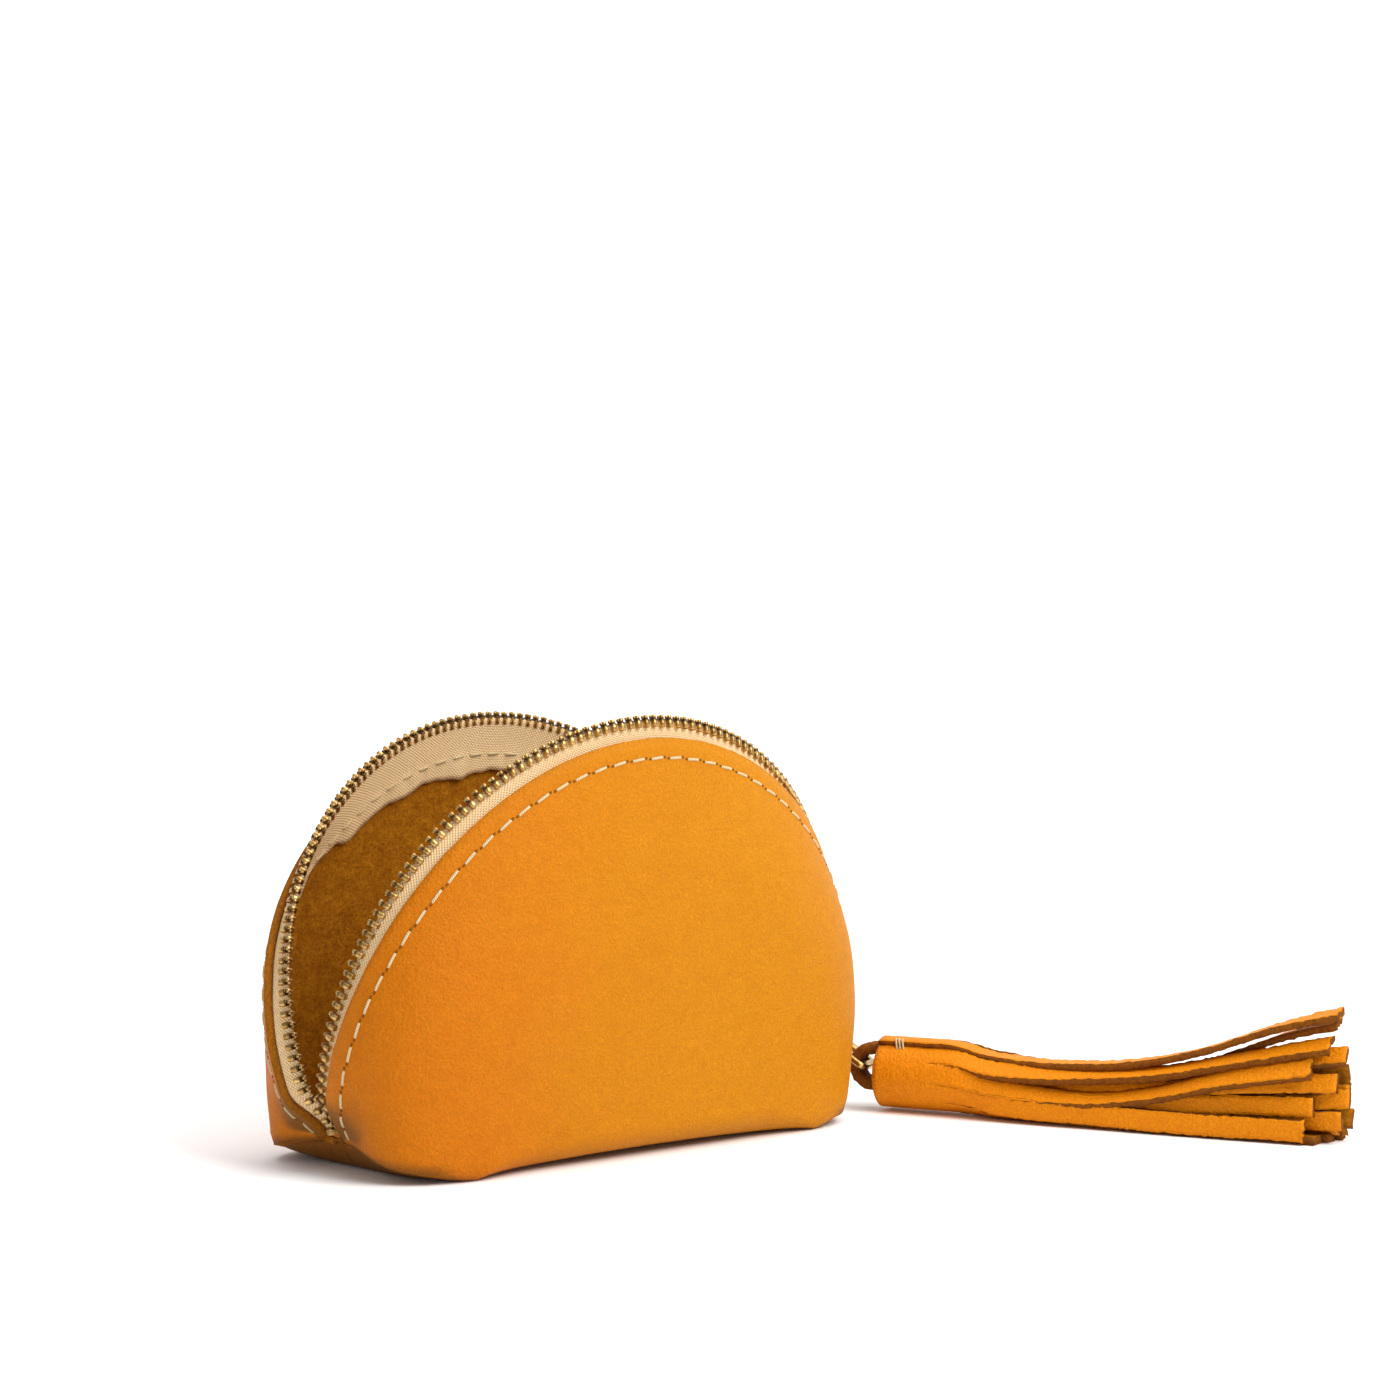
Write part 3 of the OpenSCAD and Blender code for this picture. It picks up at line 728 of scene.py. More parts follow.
def hole_unit():
    """Oval dark disc, painted shade of a needle's hole: height and radius of each ring."""
    rings = [(0.0, 0.46), (0.10, 0.38), (0.14, 0.2)]
    sides = 10
    points = [(r * 1.15 * math.cos(2 * math.pi * k / sides), r * 0.8 * math.sin(2 * math.pi * k / sides), h)
              for h, r in rings for k in range(sides)]
    return unit_object("needle_hole", points, tube_faces(len(rings), sides))


def unit(v):
    """The same direction, one long."""
    return v / np.linalg.norm(v)


SIDES = {FRONT: Side(FRONT), BACK: Side(BACK)}
SIDE_NAME = {FRONT: "front", BACK: "back"}


def bend_with_side(piece):
    """Bakes the piece's placing into its points."""
    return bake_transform(piece)


# --------------------------------------------------------------------------
# Leather
# --------------------------------------------------------------------------
def leather_half(side):
    """One side and its half of the base: grain outside, flesh inside, raw edge round the mouth."""
    s = SIDES[side]
    n, m = s.grid.shape[:2]
    outer = s.grid + s.normal * LEATHER
    points = np.concatenate([s.grid.reshape(-1, 3), outer.reshape(-1, 3)])
    # loose fibres: the cut edge isn't quite straight
    for i in range(n):
        for base in (0, n * m):
            k = base + i * m
            points[k] += (points[k] - points[k + 1]) * 0.06 * ripple(points[k], 1 / 1.7, 4)
    faces, kind = slab_faces(n, m, side == BACK)
    # the lip over the base's flap shows its cut edge, whose dark finish is also painted shade in the seam's
    # groove
    for i in range(n - 1):
        if abs(s.grid[i, WALL_ROWS, 0]) > LIP_X:
            kind[2 * (i * (m - 1) + WALL_ROWS) + 1] = 2
    piece = new_piece("leather_" + SIDE_NAME[side] + "_half", points, faces, [flesh, hide, raw_edge], kind)
    # painted shade on the ends of the base, where they face down
    outermost = smooth((np.abs(s.grid[..., 0]) - UNDERSIDE_SHADE_X) / UNDERSIDE_SHADE_RUN)
    turned = outermost * smooth((-s.normal[..., 2] - 0.15) / 0.4)
    rubbed = piece.data.attributes.new("rubbed", "FLOAT", "POINT")
    rubbed.data.foreach_set("value", np.tile(turned.ravel(), 2))
    bend_with_side(piece)
    return piece


leather = {side: leather_half(side) for side in (FRONT, BACK)}
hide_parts("leather_front", "leather_base")
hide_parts("leather_back")


# --------------------------------------------------------------------------
# Zip
# --------------------------------------------------------------------------
def map_by_vertex(piece, table):
    """Gives a piece its own map, from a table with a row for each of its points."""
    layer = piece.data.uv_layers.new(name="lie")
    for loop in piece.data.loops:
        layer.data[loop.index].uv = table[loop.vertex_index]


def zip_tape(side):
    """Tape from under the teeth to a wavy lower edge inside the pouch."""
    s = SIDES[side]
    a = np.linspace(END_A + 0.4, 180 - END_A - 0.4, 300)
    rows = 12
    grids, table = [], []
    for off in (-0.12, -0.12 - TAPE_T):
        grid = np.zeros((len(a), rows, 3))
        for i, ai in enumerate(a):
            along = math.radians(ai) * ARC_R
            wide = TAPE_W + 2.4 * ripple((along, 0, 0), 1 / 11, 5) + 0.9 * ripple((along, 0, 0), 1 / 4, 6)
            wide += 2.2 * smooth(1 - abs(ai - 95) / 60)
            wide = min(wide, reach(ai) + s.depth[min(i, len(s.a) - 1), WALL_ROWS] * 0.8)
            across = np.linspace(1.2, wide, rows)
            sag = 1.5 * ripple((along, 0, 0), 1 / 8, 9) * smooth((across - 8) / 8)
            for j in range(rows):
                grid[i, j] = s.at(ai, across[j] - reach(ai), off - abs(sag[j]))
                table.append((along, across[j]))
        grids.append(grid)
    faces, _ = slab_faces(len(a), rows, side == FRONT)
    points = np.concatenate([g.reshape(-1, 3) for g in grids])
    piece = new_piece("zip_tape_" + SIDE_NAME[side], points, faces, [tape_cloth])
    map_by_vertex(piece, table)
    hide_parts("tape_" + SIDE_NAME[side])
    bend_with_side(piece)


def row_frame(a, side):
    """The tip at arc angle a, then the directions out of the tape, away from the tip, along the row."""
    here = along_tape(np.array([a]), 0.0, side)[0]
    root = unit(along_tape(np.array([a]), 3.0, side)[0] - here)
    ahead, behind = (along_tape(np.array([a + d]), 1.5, side)[0] for d in (0.3, -0.3))
    along = unit(ahead - behind)
    out = unit(np.cross(root, along))
    return here, out, root, np.cross(out, root)


def teeth_of(side):
    """A row of teeth, half a step off the other row's, each a little out of true."""
    step = math.degrees(TOOTH_PITCH / ARC_R)
    first, last = SLIDER_A + (0.25 if side == FRONT else 0.75) * step + 2.6, 180 - END_A - 0.6
    centres, frames = [], []
    for a in np.arange(first, last, step):
        here, _, root, along = row_frame(a, side)
        turn = ripple((a, 0, side * 5), 0.9, 2) * 0.05
        along = unit(along + turn * root)
        centres.append(here + root * (-0.45 + 0.12 * ripple((a, 3, side), 0.8, 1)))
        root = unit(root - along * (root @ along))
        frames.append((np.cross(root, along), root, along))
    piece = row_of("zip_teeth_" + SIDE_NAME[side], tooth, centres, frames, tooth_brass)
    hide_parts("teeth_" + SIDE_NAME[side])
    bend_with_side(piece)


def stops_of(side):
    """The stop past the last tooth of a row."""
    here, out, root, along = row_frame(180 - END_A - 0.9, side)
    points, faces = block((-1.5, 0.2, -0.9), (1.5, 3.2, 0.9), 0.35)
    points = [here + out * p[0] + root * p[1] + along * p[2] for p in points]
    piece = new_piece("zip_stop_" + SIDE_NAME[side], points, faces, [tooth_brass], smooth_faces=False)
    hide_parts("top_stop_" + SIDE_NAME[side])
    bend_with_side(piece)


# --------------------------------------------------------------------------
# Stitching
# --------------------------------------------------------------------------
def line_angles(side, depth, pitch, low, high):
    """Arc angles that are pitch mm apart along the line depth mm below the edge."""
    fine = np.linspace(low, high, 900)
    line = SIDES[side].at(fine, depth, LEATHER)
    run = np.concatenate([[0], np.cumsum(np.linalg.norm(np.diff(line, axis=0), axis=1))])
    count = int(run[-1] / pitch)
    return np.interp((np.arange(count) + 0.5) * run[-1] / count, run, fine)


def stitch_line(side, depth, off, low, high, slant):
    """Middles and frames of the stitches along a line, then places and frames of their needle holes.
    off is how far they lie outside the inner face, slant how far they turn across the line."""
    outward = 1 if off > 0 else -1
    middles, frames, ends = [], [], []
    for a in line_angles(side, depth, STITCH_PITCH, low, high):
        p, q = SIDES[side].at(np.array([a - 0.4, a + 0.4]), depth, off)
        deep = SIDES[side].at(np.array([a]), depth, off + outward)[0]
        mid = SIDES[side].at(np.array([a]), depth, off)[0]
        z = unit(deep - mid)
        x = unit(q - p)
        x = unit(x - z * (x @ z))
        y = np.cross(z, x)
        lean = slant + 0.03 * ripple((a, 0, side * 9), 1.7, 3)
        x, y = unit(x + y * lean), unit(y - x * lean)
        middles.append(mid + z * 0.10)
        frames.append((x, y, z))
        ends += [(mid + x * k * STITCH_L * 0.5 + z * 0.02, (x, y, z)) for k in (-1, 1)]
    return middles, frames, ends


def stitches_of(side):
    """The topstitch of a side, seen from both faces, and its needle holes."""
    low, high = SLIDER_A - 8, 180 - END_A - 1.2
    outer = stitch_line(side, STITCH_INSET, LEATHER, low, high, -0.07 * side)
    inner = stitch_line(side, STITCH_INSET, -TAPE_T - 0.4, low, high, 0.05 * side)
    for label, (middles, frames, _) in (("outer", outer), ("inner", inner)):
        piece = row_of(f"topstitch_{SIDE_NAME[side]}_{label}", stitch, middles, frames, thread_cream)
        if label == "outer":
            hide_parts("topstitch_" + SIDE_NAME[side])
        bend_with_side(piece)
    # dark discs at the stitches' ends are painted shade of the needle holes
    piece = row_of("needle_holes_" + SIDE_NAME[side], needle_mark,
                   [e[0] for e in outer[2]], [e[1] for e in outer[2]], needle_hole)
    bend_with_side(piece)


def end_stitches(end, name):
    """Stitches that close the pouch below one end of the zip, along the seam above the base."""
    middles, frames = [], []
    for k in range(7):
        y = (k - 3) * END_STITCH_PITCH
        s = SIDES[FRONT if y < 0 else BACK]
        half = len(s.a) // 2
        columns = slice(0, half) if end > 0 else slice(half, None)
        normals = s.normal[columns, WALL_ROWS + 1]
        line = s.grid[columns, WALL_ROWS + 1] + normals * LEATHER
        i = int(np.argmin(np.abs(line[:, 1] - y)))
        z = unit(normals[i])
        x = unit(np.array([0.0, 1.0, 0.0]) - z * z[1])
        middles.append(line[i] - z * (LEATHER + 0.2))
        frames.append((x, np.cross(x, z), -z))
    piece = row_of("end_stitches_" + name, stitch, middles, frames, thread_cream)
    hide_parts("end_stitch_" + name)
    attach(piece, "base")


tooth, stitch, needle_mark = tooth_unit(), stitch_unit(), hole_unit()
for side in (FRONT, BACK):
    zip_tape(side)
    teeth_of(side)
    stops_of(side)
    stitches_of(side)
end_stitches(-1, "left")
end_stitches(1, "right")
for made in (tooth, stitch, needle_mark):
    bpy.data.objects.remove(made)


# --------------------------------------------------------------------------
# Slider, kept as it is in the frame
# --------------------------------------------------------------------------
def dressed(node, finish):
    """Gives a node of the frame its finish."""
    piece = frame["nodes"][node]
    piece.data.materials.clear()
    piece.data.materials.append(finish)
    for polygon in piece.data.polygons:
        polygon.material_index = 0


dressed("slider_body", pull_brass)
dressed("slider_bridge", pull_brass)
dressed("lock_spring", tooth_brass)
dressed("bottom_stop", tooth_brass)


# --------------------------------------------------------------------------
# Puller
# --------------------------------------------------------------------------
joint_at = {j["name"]: np.array(j["pos_m"]) / MM for j in frame["joints"]}
LIE = np.array([cos_d(-70), sin_d(-70), 0.0])   # direction in which puller and tassel lie
ASIDE = np.array([-LIE[1], LIE[0], 0.0])
UP = np.array([0.0, 0.0, 1.0])


def swept(path, sections, closed):
    """Points and faces of a section carried along a path; each section is (n, 3) in the path's place."""
    n, k = len(path), len(sections[0])
    points = np.concatenate([path[i] + sections[i] for i in range(n)])
    faces = []
    for i in range(n if closed else n - 1):
        j = (i + 1) % n
        for c in range(k):
            e = (c + 1) % k
            faces.append((i * k + c, i * k + e, j * k + e, j * k + c))
    if not closed:
        faces.append(tuple(range(k))[::-1])
        faces.append(tuple((n - 1) * k + c for c in range(k)))
    return points, faces


def sideways(path, closed, normal):
    """Direction across the path at each of its points; normal is the plane's that it lies in."""
    if closed:
        run = np.roll(path, -1, 0) - np.roll(path, 1, 0)
    else:
        run = np.gradient(path, axis=0)
    run /= np.linalg.norm(run, axis=1, keepdims=True)
    return np.cross(np.broadcast_to(normal, run.shape), run)


def chamfered(w, h, c):
    """Half-sizes w by h, with corners cut by c."""
    half = [(w, h - c), (w - c, h), (c - w, h), (-w, h - c)]
    return half + [(-x, -y) for x, y in half]


BAIL_L, BAIL_EYE, BAIL_CORNER = 20.7, 3.6, 1.6   # reach from the bridge, eye's radius, corner's radius
BAIL_DROP = 34.0                                 # slope that it hangs at


def puller_bail():
    """Flat brass bar bent into a long ring, with its corners planed off."""
    eye = np.linspace(math.pi / 2, 1.5 * math.pi, 15)
    line = [(BAIL_EYE * math.cos(t), BAIL_EYE * math.sin(t)) for t in eye]
    for sign, start in ((-1, -math.pi / 2), (1, 0.0)):
        for t in np.linspace(start, start + math.pi / 2, 6):
            line.append((BAIL_L + BAIL_CORNER * (math.cos(t) - 1),
                         sign * (BAIL_EYE - BAIL_CORNER) + BAIL_CORNER * math.sin(t)))
    fall = LIE * cos_d(BAIL_DROP) - UP * sin_d(BAIL_DROP)
    face = LIE * sin_d(BAIL_DROP) + UP * cos_d(BAIL_DROP)
    path = np.array([joint_at["puller_swing"] + fall * u + ASIDE * v for u, v in line])
    across = sideways(path, True, face)
    sections = [np.array([across[i] * w + face * h for w, h in chamfered(1.25, 0.95, 0.38)])
                for i in range(len(path))]
    points, faces = swept(path, sections, True)
    piece = new_piece("puller_bail_flat", points, faces, [pull_brass], smooth_faces=False)
    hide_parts("puller_bail")
    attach(piece, "puller")


puller_bail()


# --------------------------------------------------------------------------
# Tassel
# --------------------------------------------------------------------------
HEAD_START, HEAD_END = 5.4, 28.0   # the roll, from the bail's bar
HEAD_Z, HEAD_R = 10.6, 9.0
ROLL_START, STRIP_TURN = 25, 36    # facing of the sheet's outer end, and the turn that one strip takes
ROLL_GROWTH = 1.5                  # how far the roll's radius grows in a whole turn
STRIP_W, STRIP_T = 5.7, 2.0
INNER_W = STRIP_W * 0.92
ROOT_Z = joint_at["tassel_swing"][2]


def lie_at(x, aside, height):
    """A point of the lying tassel: along it from the bail's bar, away from the viewer, above the table."""
    return joint_at["tassel_swing"] + LIE * x + ASIDE * aside + UP * (height - ROOT_Z)


def facing(turn):
    """Direction that turns from up, through towards the viewer, to down."""
    return UP * cos_d(turn) - ASIDE * sin_d(turn)


def beside(turn):
    """Direction across a strip that faces this way."""
    return -UP * sin_d(turn) - ASIDE * cos_d(turn)


def through(stations, values, x):
    """Smooth curve through the values at the stations."""
    stations, values = np.asarray(stations, float), np.asarray(values, float)
    slope = np.gradient(values, stations)
    i = np.clip(np.searchsorted(stations, x) - 1, 0, len(stations) - 2)
    gap = stations[i + 1] - stations[i]
    t = np.clip((x - stations[i]) / gap, 0, 1)
    return hermite(values[i], slope[i] * gap, values[i + 1], slope[i + 1] * gap, t)


# Each strip of the roll: length, then (place along, aside, height, facing) on its way
OUTER_STRIPS = [
    (137.5, [(40, -6.5, 14.2, 38), (62, -5.8, 13.6, 26), (86, -5.2, 15.8, 22), (112, -5.0, 21.2, 26),
             (138, -4.5, 27.0, 34)]),
    (133.0, [(40, -8.0, 9.6, 62), (58, -7.6, 7.9, 40), (72, -7.4, 7.8, 28), (88, -7.2, 10.4, 30),
             (107, -7.2, 15.6, 42), (133, -7.0, 20.6, 52)]),
    (131.0, [(40, -8.6, 5.4, 104), (72, -8.6, 4.2, 94), (132, -8.2, 3.7, 88)]),
    (134.0, [(40, -5.0, 2.2, 160), (80, -5.2, 1.3, 176), (135, -5.0, 1.3, 178)]),
    (136.0, [(40, 0.6, 1.3, 182), (80, 0.8, 1.2, 180), (137, 1.2, 1.3, 180)]),
    (138.0, [(40, 5.4, 2.8, 208), (80, 6.6, 1.5, 190), (139, 7.4, 1.4, 186)]),
    (136.0, [(40, 8.2, 6.4, 250), (80, 9.4, 4.6, 236), (137, 9.8, 4.8, 226)]),
    (139.0, [(40, 7.0, 12.4, 292), (80, 8.0, 10.8, 288), (140, 8.4, 13.6, 282)]),
    (138.5, [(40, 4.4, 16.4, 330), (75, 4.0, 14.6, 340), (100, 3.0, 18.6, 350), (125, 0.5, 28.4, 364),
             (139, 0.0, 32.4, 374)]),
    (139.5, [(40, -1.6, 17.2, 366), (71, -2.4, 16.9, 364), (99, -2.6, 22.0, 362), (124, -2.4, 31.0, 368),
             (140, -2.0, 35.2, 378)]),
]
SLITS = [23.0, 20.4, 27.0, 24.0, 26.0, 22.5, 25.0, 23.0, 21.5]   # where each slit between them starts
# Each strip inside the roll: length, facing and radius of its root, then its way as above
INNER_STRIPS = [
    (133.0, 95, 6.2, [(42, -6.6, 6.8, 88), (68, -6.4, 6.6, 86), (100, -6.0, 8.4, 84), (134, -5.6, 10.2, 82)]),
    (141.0, 20, 6.0, [(45, -1.2, 12.6, 30), (80, -1.4, 13.6, 36), (115, -1.6, 20.2, 44),
                      (142, -1.6, 24.2, 50)]),
    (139.0, 60, 6.0, [(45, -4.2, 9.8, 60), (80, -4.0, 10.4, 62), (115, -4.0, 14.8, 70),
                      (140, -4.0, 16.6, 74)]),
    (140.0, 130, 6.0, [(45, -3.4, 4.8, 116), (80, -3.2, 4.4, 106), (141, -3.2, 6.8, 100)]),
    (138.0, 170, 6.0, [(45, -0.6, 3.4, 160), (90, -0.4, 2.9, 154), (139, 0.2, 4.0, 148)]),
    (141.0, 215, 6.0, [(45, 3.4, 4.4, 226), (90, 3.8, 4.4, 236), (142, 4.2, 6.4, 240)]),
    (139.0, 270, 6.0, [(45, 5.6, 8.4, 268), (90, 5.8, 8.4, 264), (140, 6.0, 10.8, 262)]),
    (140.0, 315, 6.0, [(45, 3.8, 11.8, 312), (90, 3.6, 12.4, 306), (141, 4.4, 18.6, 300)]),
    (142.0, 90, 2.6, [(45, -0.6, 8.8, 92), (90, -1.4, 9.0, 84), (143, -2.2, 12.6, 80)]),
    (141.0, 270, 2.6, [(45, 1.4, 7.6, 94), (90, 1.4, 8.0, 96), (142, 1.6, 13.6, 92)]),
]


def roll_angle(column):
    """Place round the roll of a column of the rolled sheet; one strip is one column wide."""
    return ROLL_START + STRIP_TURN * column


def roll_radius(angle):
    """Middle of the sheet's thickness, growing as it winds."""
    return HEAD_R - ROLL_GROWTH / 2 + ROLL_GROWTH * (angle - ROLL_START) / 360


def on_the_way(table, x):
    """Place aside, height and facing of a strip at x, from its table."""
    return (through(table[:, 0], table[:, k], x) for k in (1, 2, 3))


def strip_point(x, c, h, number, stops, free_from):
    """Point of an outer strip: c from -0.5 to 0.5 across it, h above its middle."""
    turn = roll_angle(number + 0.5 + c)
    rolled = lie_at(x, 0, HEAD_Z) + facing(turn) * (roll_radius(turn) + h)
    middle = roll_angle(number + 0.5)
    root = lie_at(0, 0, HEAD_Z) + facing(middle) * roll_radius(middle) - joint_at["tassel_swing"]
    start = (root @ ASIDE, root[2] + ROOT_Z, middle)
    table = np.array([(free_from - 12, *start), (free_from, *start), *stops])
    aside, height, face = on_the_way(table, x)
    wave = 0.5 * ripple((x, number * 31, 0), 1 / 26, 3) * smooth((x - 40) / 30)
    free = lie_at(x, aside + wave, height + wave * 0.6) + beside(face) * c * STRIP_W + facing(face) * h
    w = smooth((x - free_from) / 16)
    return rolled * (1 - w) + free * w


def frayed(p, amount, seed):
    """A small random shift, for torn fibres along a cut."""
    return amount * np.array([ripple(p, 1 / size, seed + k) for k, size in enumerate((0.9, 0.8, 1.1))])


def outer_fringe():
    """The rolled sheet and the strips cut in it, in one piece.
    A corner has a layer (0 outside, 1 inside), a strip k, a column c across it and a row v along it."""
    rows, columns, head = 118, 6, 14
    count = len(OUTER_STRIPS)
    vertex, points = {}, []

    def key(layer, k, c, v):
        """Corner's name; before the slit starts, a strip shares its edge with the next."""
        if c == columns and k < count - 1 and station(v, k) <= SLITS[k]:
            return (layer, k + 1, 0, v)
        return (layer, k, c, v)

    def station(v, k):
        """Distance of a row from the bail's bar."""
        if v <= head:
            return HEAD_START + (HEAD_END - HEAD_START) * v / head
        return HEAD_END + (OUTER_STRIPS[k][0] - HEAD_END) * (v - head) / (rows - 1 - head)

    def free_start(k):
        """Where a strip is cut on both sides."""
        return max(SLITS[max(k - 1, 0)], SLITS[min(k, count - 2)])

    def index(layer, k, c, v):
        name = key(layer, k, c, v)
        if name not in vertex:
            _, k2, c2, _ = name
            h = (0.5 - layer) * STRIP_T
            p = strip_point(station(v, k2), c2 / columns - 0.5, h, k2, OUTER_STRIPS[k2][1], free_start(k2))
            edge = c2 in (0, columns) and (v > head or k2 in (0, count - 1))
            if edge or v == rows - 1:
                p = p + frayed(p, 0.42 if v < rows - 1 else 0.9, k2)
            vertex[name] = len(points)
            points.append(p)
        return vertex[name]

    def cell(layer, k, c, v):
        return [index(layer, k, c + i, v + j) for i, j in ((0, 0), (1, 0), (1, 1), (0, 1))]

    faces, kind = [], []
    for k in range(count):
        for v in range(rows - 1):
            for c in range(columns):
                faces += [tuple(cell(0, k, c, v)[::-1]), tuple(cell(1, k, c, v))]
                kind += [0, 1]
            for c, cut in ((0, k == 0 or station(v, k - 1) > SLITS[k - 1] - 1e-6),
                           (columns, k == count - 1 or station(v, k) > SLITS[k] - 1e-6)):
                if v > 0:
                    cut = cut or (c == columns and k < count - 1 and station(v + 1, k) > SLITS[k])
                    cut = cut or (c == 0 and k > 0 and station(v + 1, k - 1) > SLITS[k - 1])
                if cut:
                    ring = [index(layer, k, c, v + j) for layer, j in ((0, 0), (1, 0), (1, 1), (0, 1))]
                    faces.append(tuple(ring if c == columns else ring[::-1]))
                    kind.append(2)
        for v, flip in ((0, True), (rows - 1, False)):
            for c in range(columns):
                ring = [index(layer, k, c + i, v) for layer, i in ((0, 0), (0, 1), (1, 1), (1, 0))]
                faces.append(tuple(ring if flip else ring[::-1]))
                kind.append(2)
    piece = new_piece("tassel_roll_and_fringe", points, faces, [tassel_hide, flesh, tassel_edge], kind)
    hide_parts("tassel_head", "fringe_near", "fringe_far")
    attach(piece, "tassel")


def inner_strip(number):
    """Points, faces and surfaces of one loose strip, its root inside the roll."""
    length, turn, radius, stops = INNER_STRIPS[number]
    root = facing(turn) * radius
    start = (root @ ASIDE, HEAD_Z + root[2], turn)
    table = np.array([(HEAD_START + 1.0, *start), (20, *start), *stops])
    rows = 96
    outline = [(w, 1) for w in (-0.5, -0.25, 0, 0.25, 0.5)] + [(w, -1) for w in (0.5, 0.25, 0, -0.25, -0.5)]
    points = []
    for x in np.linspace(table[0, 0], length, rows):
        aside, height, face = on_the_way(table, x)
        wave = 0.6 * ripple((x, number * 17 + 5, 40), 1 / 24, 6) * smooth((x - 30) / 30)
        middle = lie_at(x, aside + wave, height + wave * 0.5)
        for w, h in outline:
            p = middle + beside(face) * w * INNER_W + facing(face) * h * STRIP_T / 2
            if abs(w) == 0.5:
                p = p + frayed(p, 0.45, number)
            points.append(p)
    around = [0, 0, 0, 0, 2, 1, 1, 1, 1, 2]   # outer face, cut, inner face, cut
    return points, tube_faces(rows, len(outline)), around * (rows - 1) + [2, 2]


def inner_fringe():
    """The loose strips, in one piece."""
    strips = [inner_strip(number) for number in range(len(INNER_STRIPS))]
    points, faces = joined([strip[:2] for strip in strips])
    kind = [k for strip in strips for k in strip[2]]
    piece = new_piece("tassel_fringe_inside", points, faces, [tassel_hide, flesh, tassel_edge], kind)
    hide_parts("fringe_middle")
    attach(piece, "tassel")


def tassel_loop():
    """Thick strip doubled round the bail's bar, its ends inside the roll."""
    back, r = 2.0, 5.2   # middle of the bend, behind the bar, and its radius
    path = [(14.0 - 1.2 * k, r) for k in range(10)]
    path += [(back - r * math.sin(t), r * math.cos(t)) for t in np.linspace(0, math.pi, 22)]
    path += [(back + 0.8 + 1.2 * k, -r) for k in range(10)]
    path = np.array([lie_at(x, 0, ROOT_Z + z) for x, z in path])
    out = sideways(path, False, ASIDE)
    sections = []
    for i in range(len(path)):
        ring = [ASIDE * w + out[i] * h for w, h in chamfered(3.2, 1.6, 0.7)]
        sections.append(np.array([p + frayed(path[i] + p, 0.35, 5) for p in ring]))
    points, faces = swept(path, sections, False)
    piece = new_piece("tassel_loop_strip", points, faces, [loop_hide])
    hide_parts("tassel_loop")
    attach(piece, "tassel")


def tassel_stitches():
    """Three short stitches over the outer end of the roll."""
    radius = HEAD_R + ROLL_GROWTH / 2 + STRIP_T / 2
    stitches = []
    for x in (10.9, 11.9, 12.9):
        path = []
        for t in np.linspace(-1, 1, 9):
            lift = 0.42 - 0.9 * t**4 - 1.3 * smooth(t * 2)
            path.append(lie_at(x + 0.5 * t, 0, HEAD_Z) + facing(ROLL_START + 9 * t) * (radius + lift))
        path = np.array(path)
        sections = [np.array([LIE * 0.3 * math.cos(w) + out * 0.3 * math.sin(w)
                              for w in np.arange(8) * math.pi / 4])
                    for out in sideways(path, False, LIE)]
        stitches.append(swept(path, sections, False))
    piece = new_piece("tassel_stitches", *joined(stitches), [thread_cream])
    add_map(piece, lambda p: (p[2] / MM, p[0] / MM))
    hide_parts("tassel_thread")
    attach(piece, "tassel")


outer_fringe()
inner_fringe()
tassel_loop()
tassel_stitches()


# --------------------------------------------------------------------------
# Table, light and camera
# --------------------------------------------------------------------------
CAMERA_AZ, CAMERA_EL = math.radians(40.15), math.radians(5.76)
CAMERA_FAR = 0.7974
FOCAL = 2.08979                  # focal length as a share of the view's width
AIM_AT = (-0.093, -0.18164)      # where the point it turns about lies, in shares of the view from its middle
WALL_FAR, CURVE_R = 0.8, 1.4     # metres behind the pouch where the table curves up, and the curve's radius


def paper(name, glow):
    """White paper, which glow lifts to a pure white."""
    s = Shader(name, Specular_IOR_Level=0.1, Emission_Color=(1, 1, 1, 1), Emission_Strength=glow)
    return s.finish(s.mix(s.noise(3, 2), (0.93, 0.93, 0.93), (0.95, 0.95, 0.95)), 0.9)


table_paper, wall_paper = paper("table_paper", 0.0), paper("wall_paper", 0.5)


def backdrop():
    """Pale table that curves up behind the pouch."""
    bend = [(4.0, 0.0), (-WALL_FAR, 0.0)]
    bend += [(-WALL_FAR - CURVE_R * math.sin(t), CURVE_R * (1 - math.cos(t)))
             for t in np.linspace(0.1, math.pi / 2, 12)]
    bend.append((-WALL_FAR - CURVE_R, 4.0))
    away = Vector((math.sin(CAMERA_AZ), math.cos(CAMERA_AZ), 0))
    across = Vector((away.y, -away.x, 0))
    points = [(-away * u + across * w + Vector((0, 0, h))) / MM for u, h in bend for w in (-5, 5)]
    faces = [(2 * i, 2 * i + 1, 2 * i + 3, 2 * i + 2) for i in range(len(bend) - 1)]
    kind = [0] + [1] * (len(faces) - 1)
    new_piece("table_top", points, faces, [table_paper, wall_paper], kind)


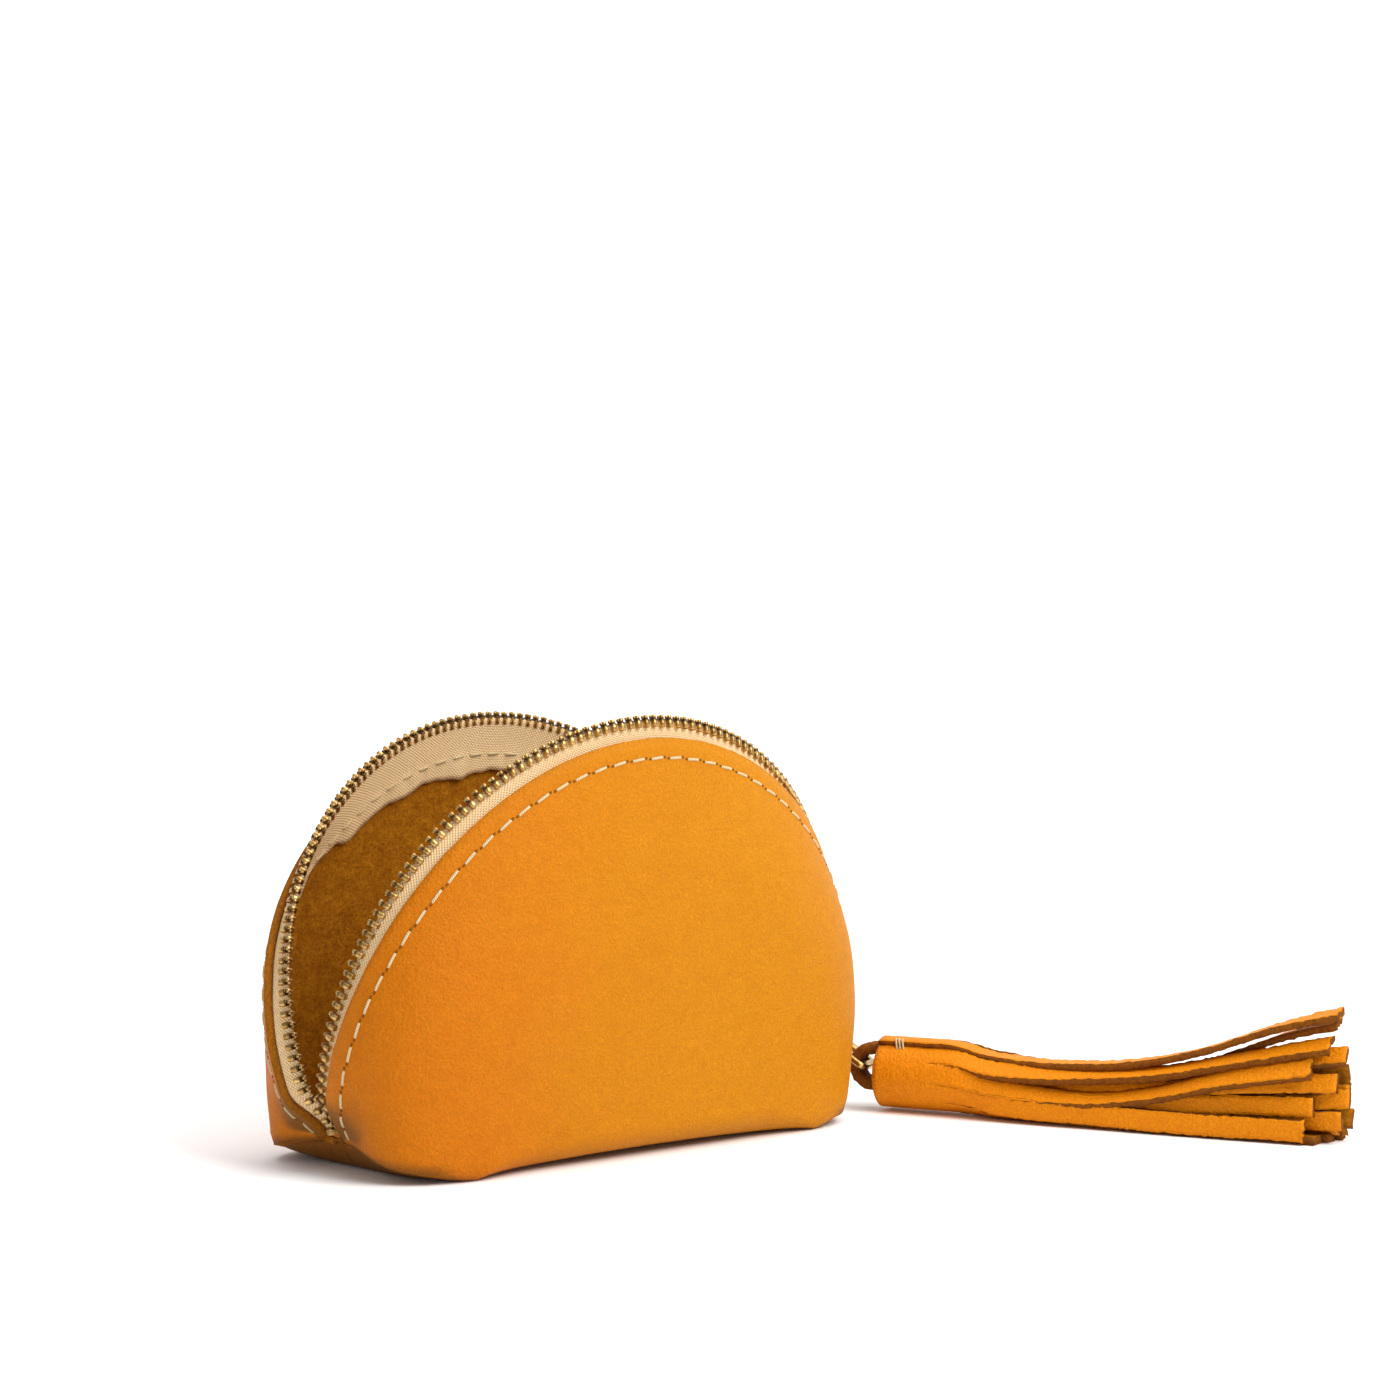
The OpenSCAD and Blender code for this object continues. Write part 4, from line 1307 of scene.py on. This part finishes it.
def soft_light(name, place, aim, width, height, power, colour=WHITE):
    """A rectangular lamp of power watts at place, turned to aim, with sizes in metres."""
    lamp = bpy.data.lights.new(name, "AREA")
    lamp.shape = "RECTANGLE"
    lamp.size, lamp.size_y = width, height
    lamp.energy = power
    lamp.color = colour
    holder = bpy.data.objects.new(name, lamp)
    holder.location = place
    holder.rotation_mode = "QUATERNION"
    holder.rotation_quaternion = (Vector(aim) - Vector(place)).to_track_quat("-Z", "Y")
    bpy.context.scene.collection.objects.link(holder)


backdrop()

back = Vector((-math.sin(CAMERA_AZ) * math.cos(CAMERA_EL), -math.cos(CAMERA_AZ) * math.cos(CAMERA_EL),
               math.sin(CAMERA_EL)))
right = Vector((math.cos(CAMERA_AZ), -math.sin(CAMERA_AZ), 0))
up = back.cross(right)
lens = bpy.data.cameras.new("camera")
lens.sensor_width = 36
lens.lens = 36 * FOCAL
lens.clip_start, lens.clip_end = 0.02, 20
camera = bpy.data.objects.new("camera", lens)
camera.location = Vector((0, 0, 0.05)) + back * CAMERA_FAR
aim = -back - right * (AIM_AT[0] / FOCAL) - up * (AIM_AT[1] / FOCAL)
camera.rotation_mode = "QUATERNION"
camera.rotation_quaternion = aim.to_track_quat("-Z", "Y")
bpy.context.scene.collection.objects.link(camera)
bpy.context.scene.camera = camera


def from_camera(rightward, nearer, height):
    """A place given as seen by the camera, in metres from the pouch's middle."""
    flat_back = Vector((back.x, back.y, 0)).normalized()
    return right * rightward + flat_back * nearer + Vector((0, 0, height))


soft_light("window", from_camera(1.0, 0.75, 1.15), (0, 0, 0.04), 1.0, 0.9, 22, (1.0, 0.985, 0.96))
soft_light("ceiling", from_camera(0.2, 0.0, 1.6), (0, 0, 0), 1.6, 1.6, 17)

world = bpy.data.worlds.new("room")
world.use_nodes = True
world.node_tree.nodes["Background"].inputs["Color"].default_value = (1, 1, 1, 1)
world.node_tree.nodes["Background"].inputs["Strength"].default_value = 0.5
bpy.context.scene.world = world
bpy.context.scene.view_settings.view_transform = "Standard"
